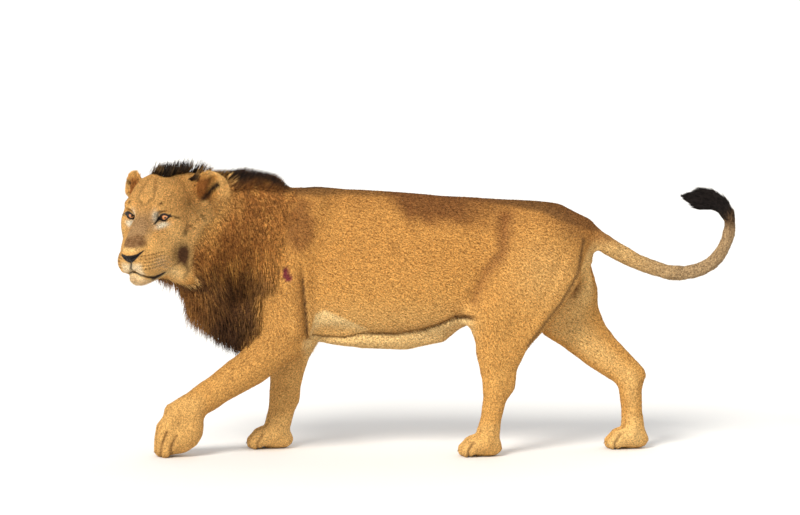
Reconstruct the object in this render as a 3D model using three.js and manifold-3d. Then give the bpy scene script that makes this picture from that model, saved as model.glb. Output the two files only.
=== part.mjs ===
// A life-size adult male Asiatic lion, walking, with its head turned to its left.
//
// The lion faces -X, its left side faces -Y, and +Z is up. All sizes are millimetres.
// The body is one smooth field, the signed distance to its outer form out to the tips of the coat.
// That field is made into one closed surface, thinned to few faces, and parted into named pieces.

import * as THREE from "three";
import { mergeVertices } from "three/addons/utils/BufferGeometryUtils.js";
import { edgeTable, triTable } from "three/addons/objects/MarchingCubes.js";
import Module from "manifold-3d";

const wasm = await Module();
wasm.setup();

/* ---------------------------------------------------------------- driving sizes */

const GRID = 7; // spacing of the field's samples
const FACES = 3640; // faces of the whole body before it is parted
const SEAM = 0.4; // gap between neighbouring pieces
const FLOOR = 0; // the soles' level

// Trunk, from the front of the chest to the rump: back line, belly line and half width at each x.
const TRUNK = {
  x: [-480, -380, -209, 0, 190, 300, 380, 532, 627, 722],
  back: [985, 1004, 1012, 1001, 985, 980, 974, 950, 918, 862],
  belly: [520, 462, 445, 436, 455, 500, 556, 640, 690, 770],
  half: [108, 130, 154, 174, 168, 150, 144, 136, 106, 56],
  egg: 0.16, // how much narrower the section is above than below
  nose: 60, // how far each end is rounded
};

// Head: the point between the eyes, where it looks, and half the distance between the eyes.
const HEAD = {
  between: [-958, -225, 930],
  yaw: 65, // degrees from straight ahead towards the left side
  pitch: 15, // degrees down
  eye: { across: 70, deep: 19, radius: 21.5 },
};

// Tail: its line and its thickness from root to tip.
const TAIL = {
  line: [
    [690, 0, 850],
    [800, 0, 784],
    [912, 0, 724],
    [1060, 0, 684],
    [1180, 0, 720],
    [1238, 0, 800],
    [1252, 0, 890],
    [1205, 0, 950],
    [1085, 0, 976],
  ],
  girth: { u: [0, 0.12, 0.3, 0.55, 0.77, 0.86, 0.94, 1], r: [46, 38, 32, 29, 25, 36, 45, 12] },
  steps: 26,
};

// Legs: the places of the joints, and the ball of the foot with the way its toes reach.
const LEFT_FORE = {
  side: "left",
  scapula: [-335, -74, 925],
  shoulder: [-478, -98, 690],
  triceps: [-424, -112, 740],
  elbow: [-424, -120, 462],
  muscle: [-558, -124, 348],
  wrist: [-735, -126, 226],
  ball: [-848, -126, 164],
  heel: [-792, -126, 112],
  palm: [50, 52, 60],
  pad: [-842, -126, 70],
  sole: [70, 66, 62],
  soft: 46,
  toe: { reach: 46, lift: 24, arch: 66 },
};
const RIGHT_FORE = {
  side: "right",
  scapula: [-350, 74, 925],
  shoulder: [-470, 94, 660],
  triceps: [-415, 104, 700],
  elbow: [-392, 108, 445],
  muscle: [-428, 108, 335],
  wrist: [-440, 106, 200],
  ball: [-472, 104, 66],
  heel: [-446, 104, 34],
  palm: [42, 50, 36],
  pad: [-486, 104, 36],
  sole: [52, 57, 40],
  soft: 18,
  toe: { reach: 76, lift: 24, arch: 18 },
};
const LEFT_HIND = {
  side: "left",
  hip: [548, -80, 815],
  thigh: [440, -98, 660],
  stifle: [348, -112, 520],
  seat: [592, -84, 700],
  ham: [418, -108, 410],
  calf: [356, -112, 405],
  hock: [368, -110, 262],
  point: [408, -110, 268],
  ball: [330, -112, 60],
  heel: [350, -112, 34],
  palm: [42, 50, 36],
  pad: [316, -112, 36],
  sole: [52, 56, 40],
  soft: 18,
  toe: { reach: 72, lift: 24, arch: 16 },
};
const RIGHT_HIND = {
  side: "right",
  hip: [560, 80, 815],
  thigh: [592, 94, 650],
  stifle: [604, 106, 500],
  seat: [626, 86, 690],
  ham: [712, 104, 500],
  calf: [742, 104, 385],
  hock: [876, 102, 274],
  point: [906, 102, 286],
  ball: [890, 102, 60],
  heel: [910, 102, 34],
  palm: [42, 50, 36],
  pad: [876, 102, 36],
  sole: [52, 56, 40],
  soft: 18,
  toe: { reach: 72, lift: 24, arch: 16 },
};

/* ---------------------------------------------------------------- distance fields */

const clamp = THREE.MathUtils.clamp;
const lerp = THREE.MathUtils.lerp;
const along = (a, b, t) => a.map((value, i) => lerp(value, b[i], t));
const plus = (a, b) => a.map((value, i) => value + b[i]);

// Distance to an ellipsoid about the origin: exact for a sphere, close for the rest.
function rounded(x, y, z, rx, ry, rz) {
  const ux = x / rx;
  const uy = y / ry;
  const uz = z / rz;
  const scaled = Math.sqrt(ux * ux + uy * uy + uz * uz);
  const slope = Math.sqrt((ux / rx) ** 2 + (uy / ry) ** 2 + (uz / rz) ** 2);
  return slope > 1e-9 ? (scaled * (scaled - 1)) / slope : -Math.min(rx, ry, rz);
}

// A form is a distance function, the ball that holds it, and how softly it joins what is there.
function form(centre, radius, blend, at) {
  return { x: centre[0], y: centre[1], z: centre[2], radius, blend, at, hollow: false };
}

// An ellipsoid, turned about its own y by tilt degrees (its long axis then leans).
function ellipsoid(centre, radii, blend = 30, tilt = 0) {
  const [cx, cy, cz] = centre;
  const [rx, ry, rz] = radii;
  const cos = Math.cos(THREE.MathUtils.degToRad(tilt));
  const sin = Math.sin(THREE.MathUtils.degToRad(tilt));
  return form(centre, Math.max(...radii), blend, (x, y, z) => {
    const dx = x - cx;
    const dz = z - cz;
    return rounded(cos * dx + sin * dz, y - cy, cos * dz - sin * dx, rx, ry, rz);
  });
}

// A round bar from a to b whose radius goes from ra to rb; wide and wider stretch its ends across y.
function limb(a, b, ra, rb, blend = 30, wide = 1, wider = wide) {
  const [ax, ay, az] = a;
  const [dx, dy, dz] = b.map((value, i) => value - a[i]);
  const square = dx * dx + dy * dy + dz * dz;
  const reach = Math.sqrt(square) / 2 + Math.max(ra, rb) * Math.max(1, wide, wider);
  return form(along(a, b, 0.5), reach, blend, (x, y, z) => {
    const px = x - ax;
    const py = y - ay;
    const pz = z - az;
    const t = clamp((px * dx + py * dy + pz * dz) / square, 0, 1);
    const r = ra + t * (rb - ra);
    return rounded(px - t * dx, py - t * dy, pz - t * dz, r, r * lerp(wide, wider, t), r);
  });
}

// Bars through the points, each point with its radius, as one form without swellings at the joints.
function chain(points, radii, blend = 30, wide = 1) {
  const bars = points.slice(1).map((end, i) => limb(points[i], end, radii[i], radii[i + 1], 5, wide));
  const middle = along(points[0], points.at(-1), 0.5);
  const reach = points.map(
    (point, i) => Math.hypot(...point.map((value, n) => value - middle[n])) + radii[i],
  );
  return form(middle, Math.max(...reach) * Math.max(1, wide), blend, join(bars));
}

// A smooth function of x through the values, read from a table with a step of 1 mm.
function curve(xs, values) {
  const cubic = new THREE.CubicInterpolant(xs, values, 1);
  const from = xs[0];
  const count = Math.round(xs.at(-1) - from) + 1;
  const table = Float64Array.from({ length: count }, (_, i) => cubic.evaluate(from + i)[0]);
  return (x) => table[clamp(Math.round(x - from), 0, count - 1)];
}

// The trunk: an egg-shaped section whose back, belly and width change along x.
function barrel({ x: xs, back, belly, half, egg, nose }, blend) {
  const top = curve(xs, back);
  const low = curve(xs, belly);
  const width = curve(xs, half);
  const middle = [(xs[0] + xs.at(-1)) / 2, 0, 720];
  return form(middle, 700, blend, (x, y, z) => {
    const at = clamp(x, xs[0] + nose, xs.at(-1) - nose);
    const high = (top(at) - low(at)) / 2;
    const dz = z - low(at) - high;
    const wide = width(at) * (1 - egg * clamp(dz / high, -1, 1));
    return rounded(x - at, y, dz, nose, wide, high);
  });
}

// The forms joined in their order, each with its own blend; hollow ones are taken away.
function join(forms) {
  return (x, y, z) => {
    let d = 1e4;
    for (const f of forms) {
      const least = Math.sqrt((x - f.x) ** 2 + (y - f.y) ** 2 + (z - f.z) ** 2) - f.radius;
      if (f.hollow ? least > f.blend - d : least > d + f.blend) continue;
      const sign = f.hollow ? -1 : 1;
      const here = f.at(x, y, z);
      const held = sign * d;
      const soft = Math.max(f.blend - Math.abs(held - here), 0);
      d = sign * (Math.min(held, here) - (soft * soft) / (4 * f.blend));
    }
    return d;
  };
}

const hollow = (shape) => ({ ...shape, hollow: true });

/* ---------------------------------------------------------------- head */

// The head's own frame: a runs forward, b to the left and c up, from the point between the eyes.
const yaw = THREE.MathUtils.degToRad(HEAD.yaw);
const pitch = THREE.MathUtils.degToRad(HEAD.pitch);
const FORWARD = [-Math.cos(yaw) * Math.cos(pitch), -Math.sin(yaw) * Math.cos(pitch), -Math.sin(pitch)];
const LEFTWARD = [Math.sin(yaw), -Math.cos(yaw), 0];
const UPWARD = [-Math.cos(yaw) * Math.sin(pitch), -Math.sin(yaw) * Math.sin(pitch), Math.cos(pitch)];
const headPoint = (a, b, c) =>
  HEAD.between.map((value, i) => value + a * FORWARD[i] + b * LEFTWARD[i] + c * UPWARD[i]);

// One half of the head, b never negative: the other half is its mirror image.
const skull = [
  ellipsoid([-128, 0, 12], [130, 114, 110], 30),
  ellipsoid([-55, 0, 18], [72, 94, 62], 34),
  limb([-10, 0, -27], [132, 0, -94], 60, 46, 34, 0.84, 1.04),
  ellipsoid([-26, 62, 36], [30, 38, 18], 26),
  limb([-22, 64, -44], [72, 46, -92], 28, 35, 34),
  limb([108, 38, -142], [28, 54, -144], 43, 52, 28),
  limb([28, 50, -130], [-72, 82, -84], 47, 53, 36),
  ellipsoid([-72, 84, -56], [72, 50, 76], 34),
  ellipsoid([-122, 84, -122], [66, 46, 72], 34),
  limb([98, 16, -204], [10, 44, -192], 31, 40, 7),
  limb([10, 44, -192], [-90, 78, -148], 40, 52, 26),
  ellipsoid([110, 0, -202], [48, 42, 34], 7),
  ellipsoid([116, 37, -136], [56, 40, 50], 14),
  ellipsoid([118, 0, -128], [54, 36, 38], 12),
  ellipsoid([162, 0, -93], [27, 42, 26], 12),
];

const eyeCentre = (side) => [-HEAD.eye.deep, side * HEAD.eye.across, 0];
const earMound = ellipsoid([-206, 98, 24], [40, 34, 48], 26);
const socket = hollow(ellipsoid([16, 82, -1], [22, 27, 17], 12));
const halfHead = join([...skull, earMound, socket]);

// The ear: a round cup open forwards and outwards, as a field in the head's own frame.
const EAR = {
  left: [-228, 167, 31],
  right: [-216, 154, 20],
  open: [0.62, 0.74, 0.22],
  rise: [-0.2, 0.06, 1],
  size: [36, 61, 69],
  span: 95, // half the size of the grid about its centre
  grid: 5,
  faces: 180,
  bowlFaces: 90,
};
function earForms(centre) {
  const open = new THREE.Vector3(...EAR.open).normalize();
  const across = new THREE.Vector3(...EAR.rise).cross(open).normalize();
  const rise = new THREE.Vector3().crossVectors(open, across);
  const [deep, wide, tall] = EAR.size;
  const cup = (offset, radii, blend) =>
    form(centre, 120, blend, (a, b, c) => {
      const p = new THREE.Vector3(a - centre[0], b - centre[1], c - centre[2]);
      return rounded(p.dot(open) - offset, p.dot(across), p.dot(rise), ...radii);
    });
  const hole = [deep * 1.2, wide * 0.66, tall * 0.8];
  return { shell: cup(0, [deep, wide, tall], 14), bowl: cup(deep, hole, 8) };
}

// The head as one form of the body: the point is taken into the head's frame and folded to b >= 0.
const headForm = form(headPoint(-30, 0, -50), 330, 26, (x, y, z) => {
  const dx = x - HEAD.between[0];
  const dy = y - HEAD.between[1];
  const dz = z - HEAD.between[2];
  const a = dx * FORWARD[0] + dy * FORWARD[1] + dz * FORWARD[2];
  const b = dx * LEFTWARD[0] + dy * LEFTWARD[1] + dz * LEFTWARD[2];
  const c = dx * UPWARD[0] + dy * UPWARD[1] + dz * UPWARD[2];
  return halfHead(a, Math.abs(b), c);
});

/* ---------------------------------------------------------------- neck, trunk and tail */

const neck = [
  chain(
    [
      [-400, 0, 790],
      [-540, -20, 818],
      [-680, -58, 822],
      [-780, -96, 838],
    ],
    [180, 172, 152, 134],
    60,
    0.86,
  ),
  chain(
    [
      [-480, 0, 930],
      [-600, -16, 962],
      [-690, -26, 972],
    ],
    [98, 94, 68],
    60,
  ),
  // The crest of the mane, from the withers to the crown.
  chain(
    [
      [-485, 0, 1026],
      [-604, -30, 1044],
      [-700, -56, 1050],
      [-765, -74, 1074],
      [-842, -104, 1092],
      [-925, -138, 1072],
    ],
    [34, 38, 36, 32, 30, 26],
    44,
  ),
  // The throat's mane, hanging between the jaw and the chest.
  chain(
    [
      [-800, -118, 756],
      [-734, -78, 640],
      [-726, -66, 592],
      [-644, -36, 514],
      [-580, -28, 514],
    ],
    [118, 110, 108, 94, 104],
    44,
    1.15,
  ),
  // The fringe under the jaw.
  limb([-928, -162, 744], [-885, -82, 730], 48, 78, 36),
];

const trunk = [
  barrel(TRUNK, 50),
  ellipsoid([-470, -5, 640], [165, 132, 185], 60),
  ellipsoid([-330, 0, 965], [110, 72, 48], 40),
  ellipsoid([505, 0, 800], [190, 146, 150], 60),
  limb([600, 0, 850], [700, 0, 842], 92, 56, 50),
  // The fold of skin along the belly.
  chain(
    [
      [-330, 0, 462],
      [-150, 0, 440],
      [20, 0, 436],
      [150, 0, 455],
      [262, 0, 522],
    ],
    [40, 48, 50, 44, 28],
    9,
    1.5,
  ),
  ellipsoid([708, 0, 650], [36, 31, 44], 8),
  limb([704, 0, 690], [694, 0, 770], 24, 48, 16),
];

function tail() {
  const line = new THREE.CatmullRomCurve3(TAIL.line.map((point) => new THREE.Vector3(...point)));
  const girth = new THREE.LinearInterpolant(TAIL.girth.u, TAIL.girth.r, 1);
  const points = line.getSpacedPoints(TAIL.steps).map((point) => point.toArray());
  const radii = points.map((_, i) => girth.evaluate(i / TAIL.steps)[0]);
  return chain(points, radii, 12);
}

/* ---------------------------------------------------------------- legs */

const TOES = [-1.5, -0.5, 0.5, 1.5]; // places of the toes across the foot
const TOE = { apart: 31, root: 30, tip: 27, longer: 13 };

// The tip of a toe; the two middle toes reach further.
function toeTip(leg, place) {
  const longer = Math.abs(place) < 1 ? TOE.longer : 0;
  return [leg.ball[0] - leg.toe.reach - longer, leg.ball[1] + place * TOE.apart, leg.toe.lift];
}

function foot(leg) {
  const toes = TOES.flatMap((place) => {
    const root = plus(leg.ball, [-6, place * TOE.apart * 0.86, -6]);
    const tip = toeTip(leg, place);
    const knuckle = plus(along(root, tip, 0.62), [-6, 0, leg.toe.arch * 0.5]);
    return chain([root, knuckle, tip], [TOE.root + 5, TOE.root, TOE.tip], 9);
  });
  return [...toes, ellipsoid(leg.heel, leg.palm, leg.soft), ellipsoid(leg.pad, leg.sole, leg.soft)];
}

function foreleg(leg) {
  return [
    limb(leg.scapula, leg.shoulder, 60, 96, 70, 0.9, 0.82),
    limb(leg.triceps, leg.elbow, 84, 84, 56, 0.8),
    chain([leg.elbow, leg.muscle, leg.wrist], [84, 77, 57], 34, 0.86),
    limb(leg.shoulder, along(leg.shoulder, leg.elbow, 0.9), 98, 84, 50, 0.8),
    limb(leg.wrist, leg.ball, 56, 50, 24, 1, 1.22),
    ...foot(leg),
  ];
}

function hindleg(leg) {
  return [
    chain([leg.hip, leg.thigh, leg.stifle], [122, 128, 84], 50, 0.68),
    chain([leg.seat, along(leg.seat, leg.ham, 0.5), leg.ham], [102, 92, 60], 44, 0.68),
    chain([leg.stifle, leg.calf, leg.hock], [88, 74, 54], 34, 0.85),
    limb(leg.ham, leg.point, 50, 26, 30, 0.8),
    limb(leg.calf, leg.point, 60, 27, 26, 0.7),
    chain([leg.hock, along(leg.hock, leg.ball, 0.6), leg.ball], [51, 43, 49], 22, 1.05),
    ...foot(leg),
  ];
}

const FORELEGS = [LEFT_FORE, RIGHT_FORE];
const HINDLEGS = [LEFT_HIND, RIGHT_HIND];
const LEGS = [
  ["fore", LEFT_FORE],
  ["fore", RIGHT_FORE],
  ["hind", LEFT_HIND],
  ["hind", RIGHT_HIND],
];

const body = join([
  ...trunk,
  ...FORELEGS.flatMap(foreleg),
  ...HINDLEGS.flatMap(hindleg),
  ...neck,
  tail(),
  headForm,
]);

/* ---------------------------------------------------------------- from field to surface */

// Marching cubes: cells along a block, how many block lengths from its middle the surface may be for it
// to count, and how near a crossing may come to a point of the grid.
const CUBES = { block: 8, reach: 1.3, nearest: 0.04 };
const CORNERS = [
  [0, 0, 0], [1, 0, 0], [1, 1, 0], [0, 1, 0],
  [0, 0, 1], [1, 0, 1], [1, 1, 1], [0, 1, 1],
];
const EDGES = [
  [0, 1], [1, 2], [3, 2], [0, 3],
  [4, 5], [5, 6], [7, 6], [4, 7],
  [0, 4], [1, 5], [2, 6], [3, 7],
];

// The surface where the field is zero, by marching cubes on a grid; blocks far from it are skipped.
function polygonise(field, low, high, step) {
  const size = low.map((value, i) => Math.ceil((high[i] - value) / step) + 1);
  const block = CUBES.block;
  const index = (i, j, k) => (k * size[1] + j) * size[0] + i;
  const values = new Float32Array(size[0] * size[1] * size[2]).fill(NaN);
  const cells = [];
  const skip = block * step * CUBES.reach;
  for (let k = 0; k < size[2] - 1; k += block)
    for (let j = 0; j < size[1] - 1; j += block)
      for (let i = 0; i < size[0] - 1; i += block) {
        const centre = [i, j, k].map((value, n) => low[n] + (value + block / 2) * step);
        if (Math.abs(field(...centre)) > skip) continue;
        const end = [i, j, k].map((value, n) => Math.min(value + block, size[n] - 1));
        for (let c = k; c <= end[2]; c += 1)
          for (let b = j; b <= end[1]; b += 1)
            for (let a = i; a <= end[0]; a += 1) {
              const at = index(a, b, c);
              if (Number.isNaN(values[at]))
                values[at] = field(low[0] + a * step, low[1] + b * step, low[2] + c * step);
              if (a < end[0] && b < end[1] && c < end[2]) cells.push([a, b, c]);
            }
      }

  const points = [];
  const faces = [];
  const made = new Map();
  function crossing(cell, e) {
    const [p, q] = EDGES[e].map((n) => cell.map((value, axis) => value + CORNERS[n][axis]));
    const axis = p.findIndex((value, n) => value !== q[n]);
    const key = index(...p) * 3 + axis;
    if (!made.has(key)) {
      const a = values[index(...p)];
      const b = values[index(...q)];
      const t = clamp(a / (a - b), CUBES.nearest, 1 - CUBES.nearest);
      made.set(key, points.length / 3);
      for (let n = 0; n < 3; n += 1) points.push(low[n] + lerp(p[n], q[n], t) * step);
    }
    return made.get(key);
  }
  for (const cell of cells) {
    let kind = 0;
    CORNERS.forEach((corner, n) => {
      if (values[index(...plus(cell, corner))] > 0) kind |= 1 << n;
    });
    if (edgeTable[kind] === 0) continue;
    for (let n = kind * 16; triTable[n] >= 0; n += 1) faces.push(crossing(cell, triTable[n]));
  }
  return { points, faces };
}

// Thinning: the hold on an edge's middle, how many lengths of the edge its point may move, the price of
// a long edge, and the least cosine between a face before and after.
const THINNING = { hold: 1e-3, stray: 1.5, long: 2e-4, turn: 0.2 };

// Fewer faces: the edge whose loss changes the shape least goes first, weighed by detail(x, y, z).
function thin({ points, faces }, wanted, detail) {
  const P = Float64Array.from(points);
  const F = Int32Array.from(faces);
  const count = P.length / 3;
  const alive = new Uint8Array(F.length / 3).fill(1);
  const around = Array.from({ length: count }, () => new Set());
  const Q = new Float64Array(count * 10); // each point's sum of squared distances to planes
  const age = new Int32Array(count);

  function normalOf(a, b, c) {
    const ux = P[b] - P[a];
    const uy = P[b + 1] - P[a + 1];
    const uz = P[b + 2] - P[a + 2];
    const vx = P[c] - P[a];
    const vy = P[c + 1] - P[a + 1];
    const vz = P[c + 2] - P[a + 2];
    return [uy * vz - uz * vy, uz * vx - ux * vz, ux * vy - uy * vx];
  }
  for (let f = 0; f < alive.length; f += 1) {
    const [i, j, k] = [F[f * 3], F[f * 3 + 1], F[f * 3 + 2]];
    const n = normalOf(i * 3, j * 3, k * 3);
    const twice = Math.hypot(...n);
    if (twice > 0) {
      const [a, b, c] = n.map((value) => value / twice);
      const d = -(a * P[i * 3] + b * P[i * 3 + 1] + c * P[i * 3 + 2]);
      const weight = twice * detail(P[i * 3], P[i * 3 + 1], P[i * 3 + 2]);
      const plane = [a * a, a * b, a * c, a * d, b * b, b * c, b * d, c * c, c * d, d * d];
      for (const v of [i, j, k]) plane.forEach((value, n2) => (Q[v * 10 + n2] += value * weight));
    }
    for (const v of [i, j, k]) around[v].add(f);
  }

  const cost = (q, x, y, z) =>
    q[0] * x * x + 2 * q[1] * x * y + 2 * q[2] * x * z + 2 * q[3] * x +
    q[4] * y * y + 2 * q[5] * y * z + 2 * q[6] * y + q[7] * z * z + 2 * q[8] * z + q[9];

  // The best place for the point that an edge shrinks to.
  function place(u, v) {
    const q = Array.from({ length: 10 }, (_, n) => Q[u * 10 + n] + Q[v * 10 + n]);
    const m = [0, 1, 2].map((n) => (P[u * 3 + n] + P[v * 3 + n]) / 2);
    const length = Math.hypot(...[0, 1, 2].map((n) => P[u * 3 + n] - P[v * 3 + n]));
    const keep = THINNING.hold * (q[0] + q[4] + q[7]) + 1e-9;
    const matrix = new THREE.Matrix3().set(
      q[0] + keep, q[1], q[2], q[1], q[4] + keep, q[5], q[2], q[5], q[7] + keep);
    const right = new THREE.Vector3(keep * m[0] - q[3], keep * m[1] - q[6], keep * m[2] - q[8]);
    const best = right.applyMatrix3(matrix.invert()).toArray();
    const off = Math.hypot(...best.map((value, n) => value - m[n]));
    const at = off < length * THINNING.stray ? best : m;
    const bare = detail(...m) * length ** 4 * THINNING.long;
    return { at, cost: Math.max(cost(q, ...at), 0) + bare };
  }

  const heap = [];
  function push(item) {
    let n = heap.push(item) - 1;
    while (n > 0) {
      const up = (n - 1) >> 1;
      if (heap[up].cost <= item.cost) break;
      heap[n] = heap[up];
      n = up;
    }
    heap[n] = item;
  }
  function pop() {
    const top = heap[0];
    const last = heap.pop();
    if (heap.length === 0) return top;
    let n = 0;
    for (;;) {
      let down = 2 * n + 1;
      if (down >= heap.length) break;
      if (down + 1 < heap.length && heap[down + 1].cost < heap[down].cost) down += 1;
      if (heap[down].cost >= last.cost) break;
      heap[n] = heap[down];
      n = down;
    }
    heap[n] = last;
    return top;
  }
  const offer = (u, v) => push({ u, v, seen: age[u] + age[v], ...place(u, v) });

  const neighbours = (v) => {
    const found = new Set();
    for (const f of around[v]) for (let n = 0; n < 3; n += 1) found.add(F[f * 3 + n]);
    found.delete(v);
    return found;
  };
  // True if moving v to at turns one of its faces over, apart from those it shares with other.
  function flips(v, other, at) {
    const old = [P[v * 3], P[v * 3 + 1], P[v * 3 + 2]];
    for (const f of around[v]) {
      const t = [F[f * 3], F[f * 3 + 1], F[f * 3 + 2]];
      if (t.includes(other)) continue;
      const before = normalOf(...t.map((n) => n * 3));
      P.set(at, v * 3);
      const after = normalOf(...t.map((n) => n * 3));
      P.set(old, v * 3);
      const dot = before[0] * after[0] + before[1] * after[1] + before[2] * after[2];
      if (dot < THINNING.turn * Math.hypot(...before) * Math.hypot(...after)) return true;
    }
    return false;
  }

  for (let v = 0; v < count; v += 1) for (const n of neighbours(v)) if (v < n) offer(v, n);
  let left = alive.length;
  while (left > wanted && heap.length > 0) {
    const { u, v, at, seen } = pop();
    if (age[u] < 0 || age[v] < 0 || seen !== age[u] + age[v]) continue;
    const near = neighbours(u);
    if (!near.has(v)) continue;
    let shared = 0;
    for (const n of neighbours(v)) if (near.has(n)) shared += 1;
    if (shared !== 2 || flips(u, v, at) || flips(v, u, at)) continue;
    P.set(at, u * 3);
    for (let n = 0; n < 10; n += 1) Q[u * 10 + n] += Q[v * 10 + n];
    for (const f of around[v]) {
      const t = [0, 1, 2].map((n) => F[f * 3 + n]);
      if (t.includes(u)) {
        alive[f] = 0;
        left -= 1;
        for (const n of t) around[n].delete(f);
      } else {
        F[f * 3 + t.indexOf(v)] = u;
        around[u].add(f);
      }
    }
    around[v].clear();
    age[v] = -1e9;
    age[u] += 1;
    for (const n of neighbours(u)) offer(u, n);
  }
  const geometry = new THREE.BufferGeometry();
  geometry.setAttribute("position", new THREE.BufferAttribute(Float32Array.from(P), 3));
  geometry.setIndex(Array.from(F.filter((_, n) => alive[Math.floor(n / 3)] === 1)));
  return geometry;
}

/* ---------------------------------------------------------------- solids */

// A closed three.js geometry as a manifold solid; only its positions count.
function solidOf(geometry) {
  const bare = new THREE.BufferGeometry().setAttribute("position", geometry.getAttribute("position"));
  bare.setIndex(geometry.index);
  const merged = mergeVertices(bare, 1e-4);
  return new wasm.Manifold(
    new wasm.Mesh({
      numProp: 3,
      vertProperties: merged.attributes.position.array,
      triVerts: new Uint32Array(merged.index.array),
    }),
  );
}

function geometryOf(solid) {
  const mesh = solid.getMesh();
  const geometry = new THREE.BufferGeometry();
  const places = new Float32Array(mesh.vertProperties);
  geometry.setAttribute("position", new THREE.BufferAttribute(places, 3));
  geometry.setIndex(new THREE.BufferAttribute(new Uint32Array(mesh.triVerts), 1));
  geometry.computeVertexNormals();
  return geometry;
}

// How closely each place is followed: the head most, then the feet and the tail.
const CLOSENESS = { head: 8, feet: 2.4, tail: 1.6, rest: 1 };
const SKULL = { middle: plus(HEAD.between, [0, 60, -40]), radius: 270 };
function detail(x, y, z) {
  const off = plus([x, y, z], SKULL.middle.map((value) => -value));
  if (Math.hypot(...off) < SKULL.radius) return CLOSENESS.head;
  if (z < 130) return CLOSENESS.feet;
  return x > 730 && z > 600 ? CLOSENESS.tail : CLOSENESS.rest;
}

function wholeBody() {
  return solidOf(thin(polygonise(body, [-1140, -420, -28], [1330, 300, 1180], GRID), FACES, detail));
}

// A box between two corners, grown by grow all round, in the frame of a matrix if one is given.
function box(from, to, grow = 0, frame = null) {
  const size = from.map((value, n) => Math.abs(to[n] - value) + 2 * grow);
  const geometry = new THREE.BoxGeometry(...size);
  geometry.translate(...along(from, to, 0.5));
  if (frame) geometry.applyMatrix4(frame);
  return solidOf(geometry);
}

const vector = (point) => new THREE.Vector3(...point);

const headFrame = new THREE.Matrix4()
  .makeBasis(vector(FORWARD), vector(LEFTWARD), vector(UPWARD))
  .setPosition(vector(HEAD.between));

// A frame at a point, leaned by lean degrees about y and then turned by turn degrees about z.
function frameAt(point, lean, turn = 0) {
  const spin = new THREE.Matrix4().makeRotationY(THREE.MathUtils.degToRad(-lean));
  const swing = new THREE.Matrix4().makeRotationZ(THREE.MathUtils.degToRad(turn));
  return swing.multiply(spin).setPosition(vector(point));
}

// The frame of a bone: x runs from a to b as seen from the side, and y stays level.
function boneFrame(a, b) {
  return frameAt(a, THREE.MathUtils.radToDeg(Math.atan2(b[2] - a[2], b[0] - a[0])));
}

// The largest body of a solid; the crumbs that a cut leaves are dropped.
function whole(solid) {
  return solid.decompose().sort((a, b) => b.volume() - a.volume())[0];
}

// What is left of the body, and the pieces that were taken from it.
const pieces = new Map();
let rest = wholeBody();
rest = rest.subtract(box([-1500, -500, -80], [1500, 500, FLOOR]));

// Takes the named piece out of the rest: what lies in all the boxes, each [from, to, frame].
function take(name, ...boxes) {
  const cutter = (grow) =>
    boxes.map(([from, to, frame]) => box(from, to, grow, frame)).reduce((a, b) => a.intersect(b));
  pieces.set(name, whole(rest.intersect(cutter(-SEAM / 2))));
  rest = whole(rest.subtract(cutter(SEAM / 2)));
}

const SIDES = [
  ["left", 1],
  ["right", -1],
];

// Moves by the seam's width to every side.
const AROUND = [0, 1, 2].flatMap((axis) =>
  [-SEAM, SEAM].map((step) => [0, 1, 2].map((n) => (n === axis ? step : 0))),
);

// The cup of an ear, cut to the head with a seam between; its bowl goes into the head too.
function ear(name, side) {
  const centre = EAR[name];
  const { shell, bowl } = earForms(centre);
  const mirror = new THREE.Matrix4().makeScale(1, side, 1);
  const made = (field, faces) => {
    const reach = [-EAR.span, EAR.span].map((span) => centre.map((value) => value + span));
    const few = thin(polygonise(field, ...reach, EAR.grid), faces, () => 1);
    return solidOf(few).transform(headFrame.clone().multiply(mirror).elements);
  };
  rest = rest.subtract(made(bowl.at, EAR.bowlFaces));
  const solid = made(join([shell, hollow(bowl)]), EAR.faces);
  return whole(AROUND.reduce((left, way) => left.subtract(rest.translate(way)), solid));
}

function eyeball(side, grow = 0) {
  const geometry = new THREE.SphereGeometry(HEAD.eye.radius + grow, 12, 7);
  geometry.rotateZ(-Math.PI / 2);
  geometry.translate(...eyeCentre(side)).applyMatrix4(headFrame);
  return solidOf(geometry);
}

for (const [name, side] of SIDES) pieces.set("ear_" + name, ear(name, side));
for (const [name, side] of SIDES) {
  rest = rest.subtract(eyeball(side, SEAM));
  pieces.set("eye_" + name, eyeball(side));
}

// Claws: bent cones in pockets at the tips of the toes.
const CLAW = { length: 30, radius: 5.6, bend: 0.011, set: [-6, 0, 12], dip: 24 };
function claw(leg, place, grow = 0) {
  const geometry = new THREE.ConeGeometry(CLAW.radius + grow, CLAW.length + 2 * grow, 5, 2);
  geometry.translate(0, CLAW.length / 2, 0);
  const at = geometry.getAttribute("position");
  for (let n = 0; n < at.count; n += 1)
    at.setX(n, at.getX(n) - CLAW.bend * Math.max(at.getY(n), 0) ** 2);
  geometry.rotateZ(THREE.MathUtils.degToRad(90 + CLAW.dip));
  geometry.rotateX(Math.PI / 2);
  geometry.translate(...plus(toeTip(leg, place), CLAW.set));
  return solidOf(geometry);
}

for (const [kind, leg] of LEGS)
  TOES.forEach((place, n) => {
    rest = rest.subtract(claw(leg, place, SEAM));
    pieces.set(["claw", kind, leg.side, n + 1].join("_"), claw(leg, place));
  });

// The tail, from its tip to its root, and what hangs under it.
take("tail_tuft", [[950, -100, 912], [1400, 100, 1200]]);
take("tail_end", [[1090, -100, 600], [1400, 100, 940]]);
take("tail_middle", [[905, -100, 600], [1120, 100, 940]]);
take("tail_root", [[735, -66, 640], [930, 66, 940]]);
take("scrotum", [[660, -33, 560], [760, 33, 686]]);

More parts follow.
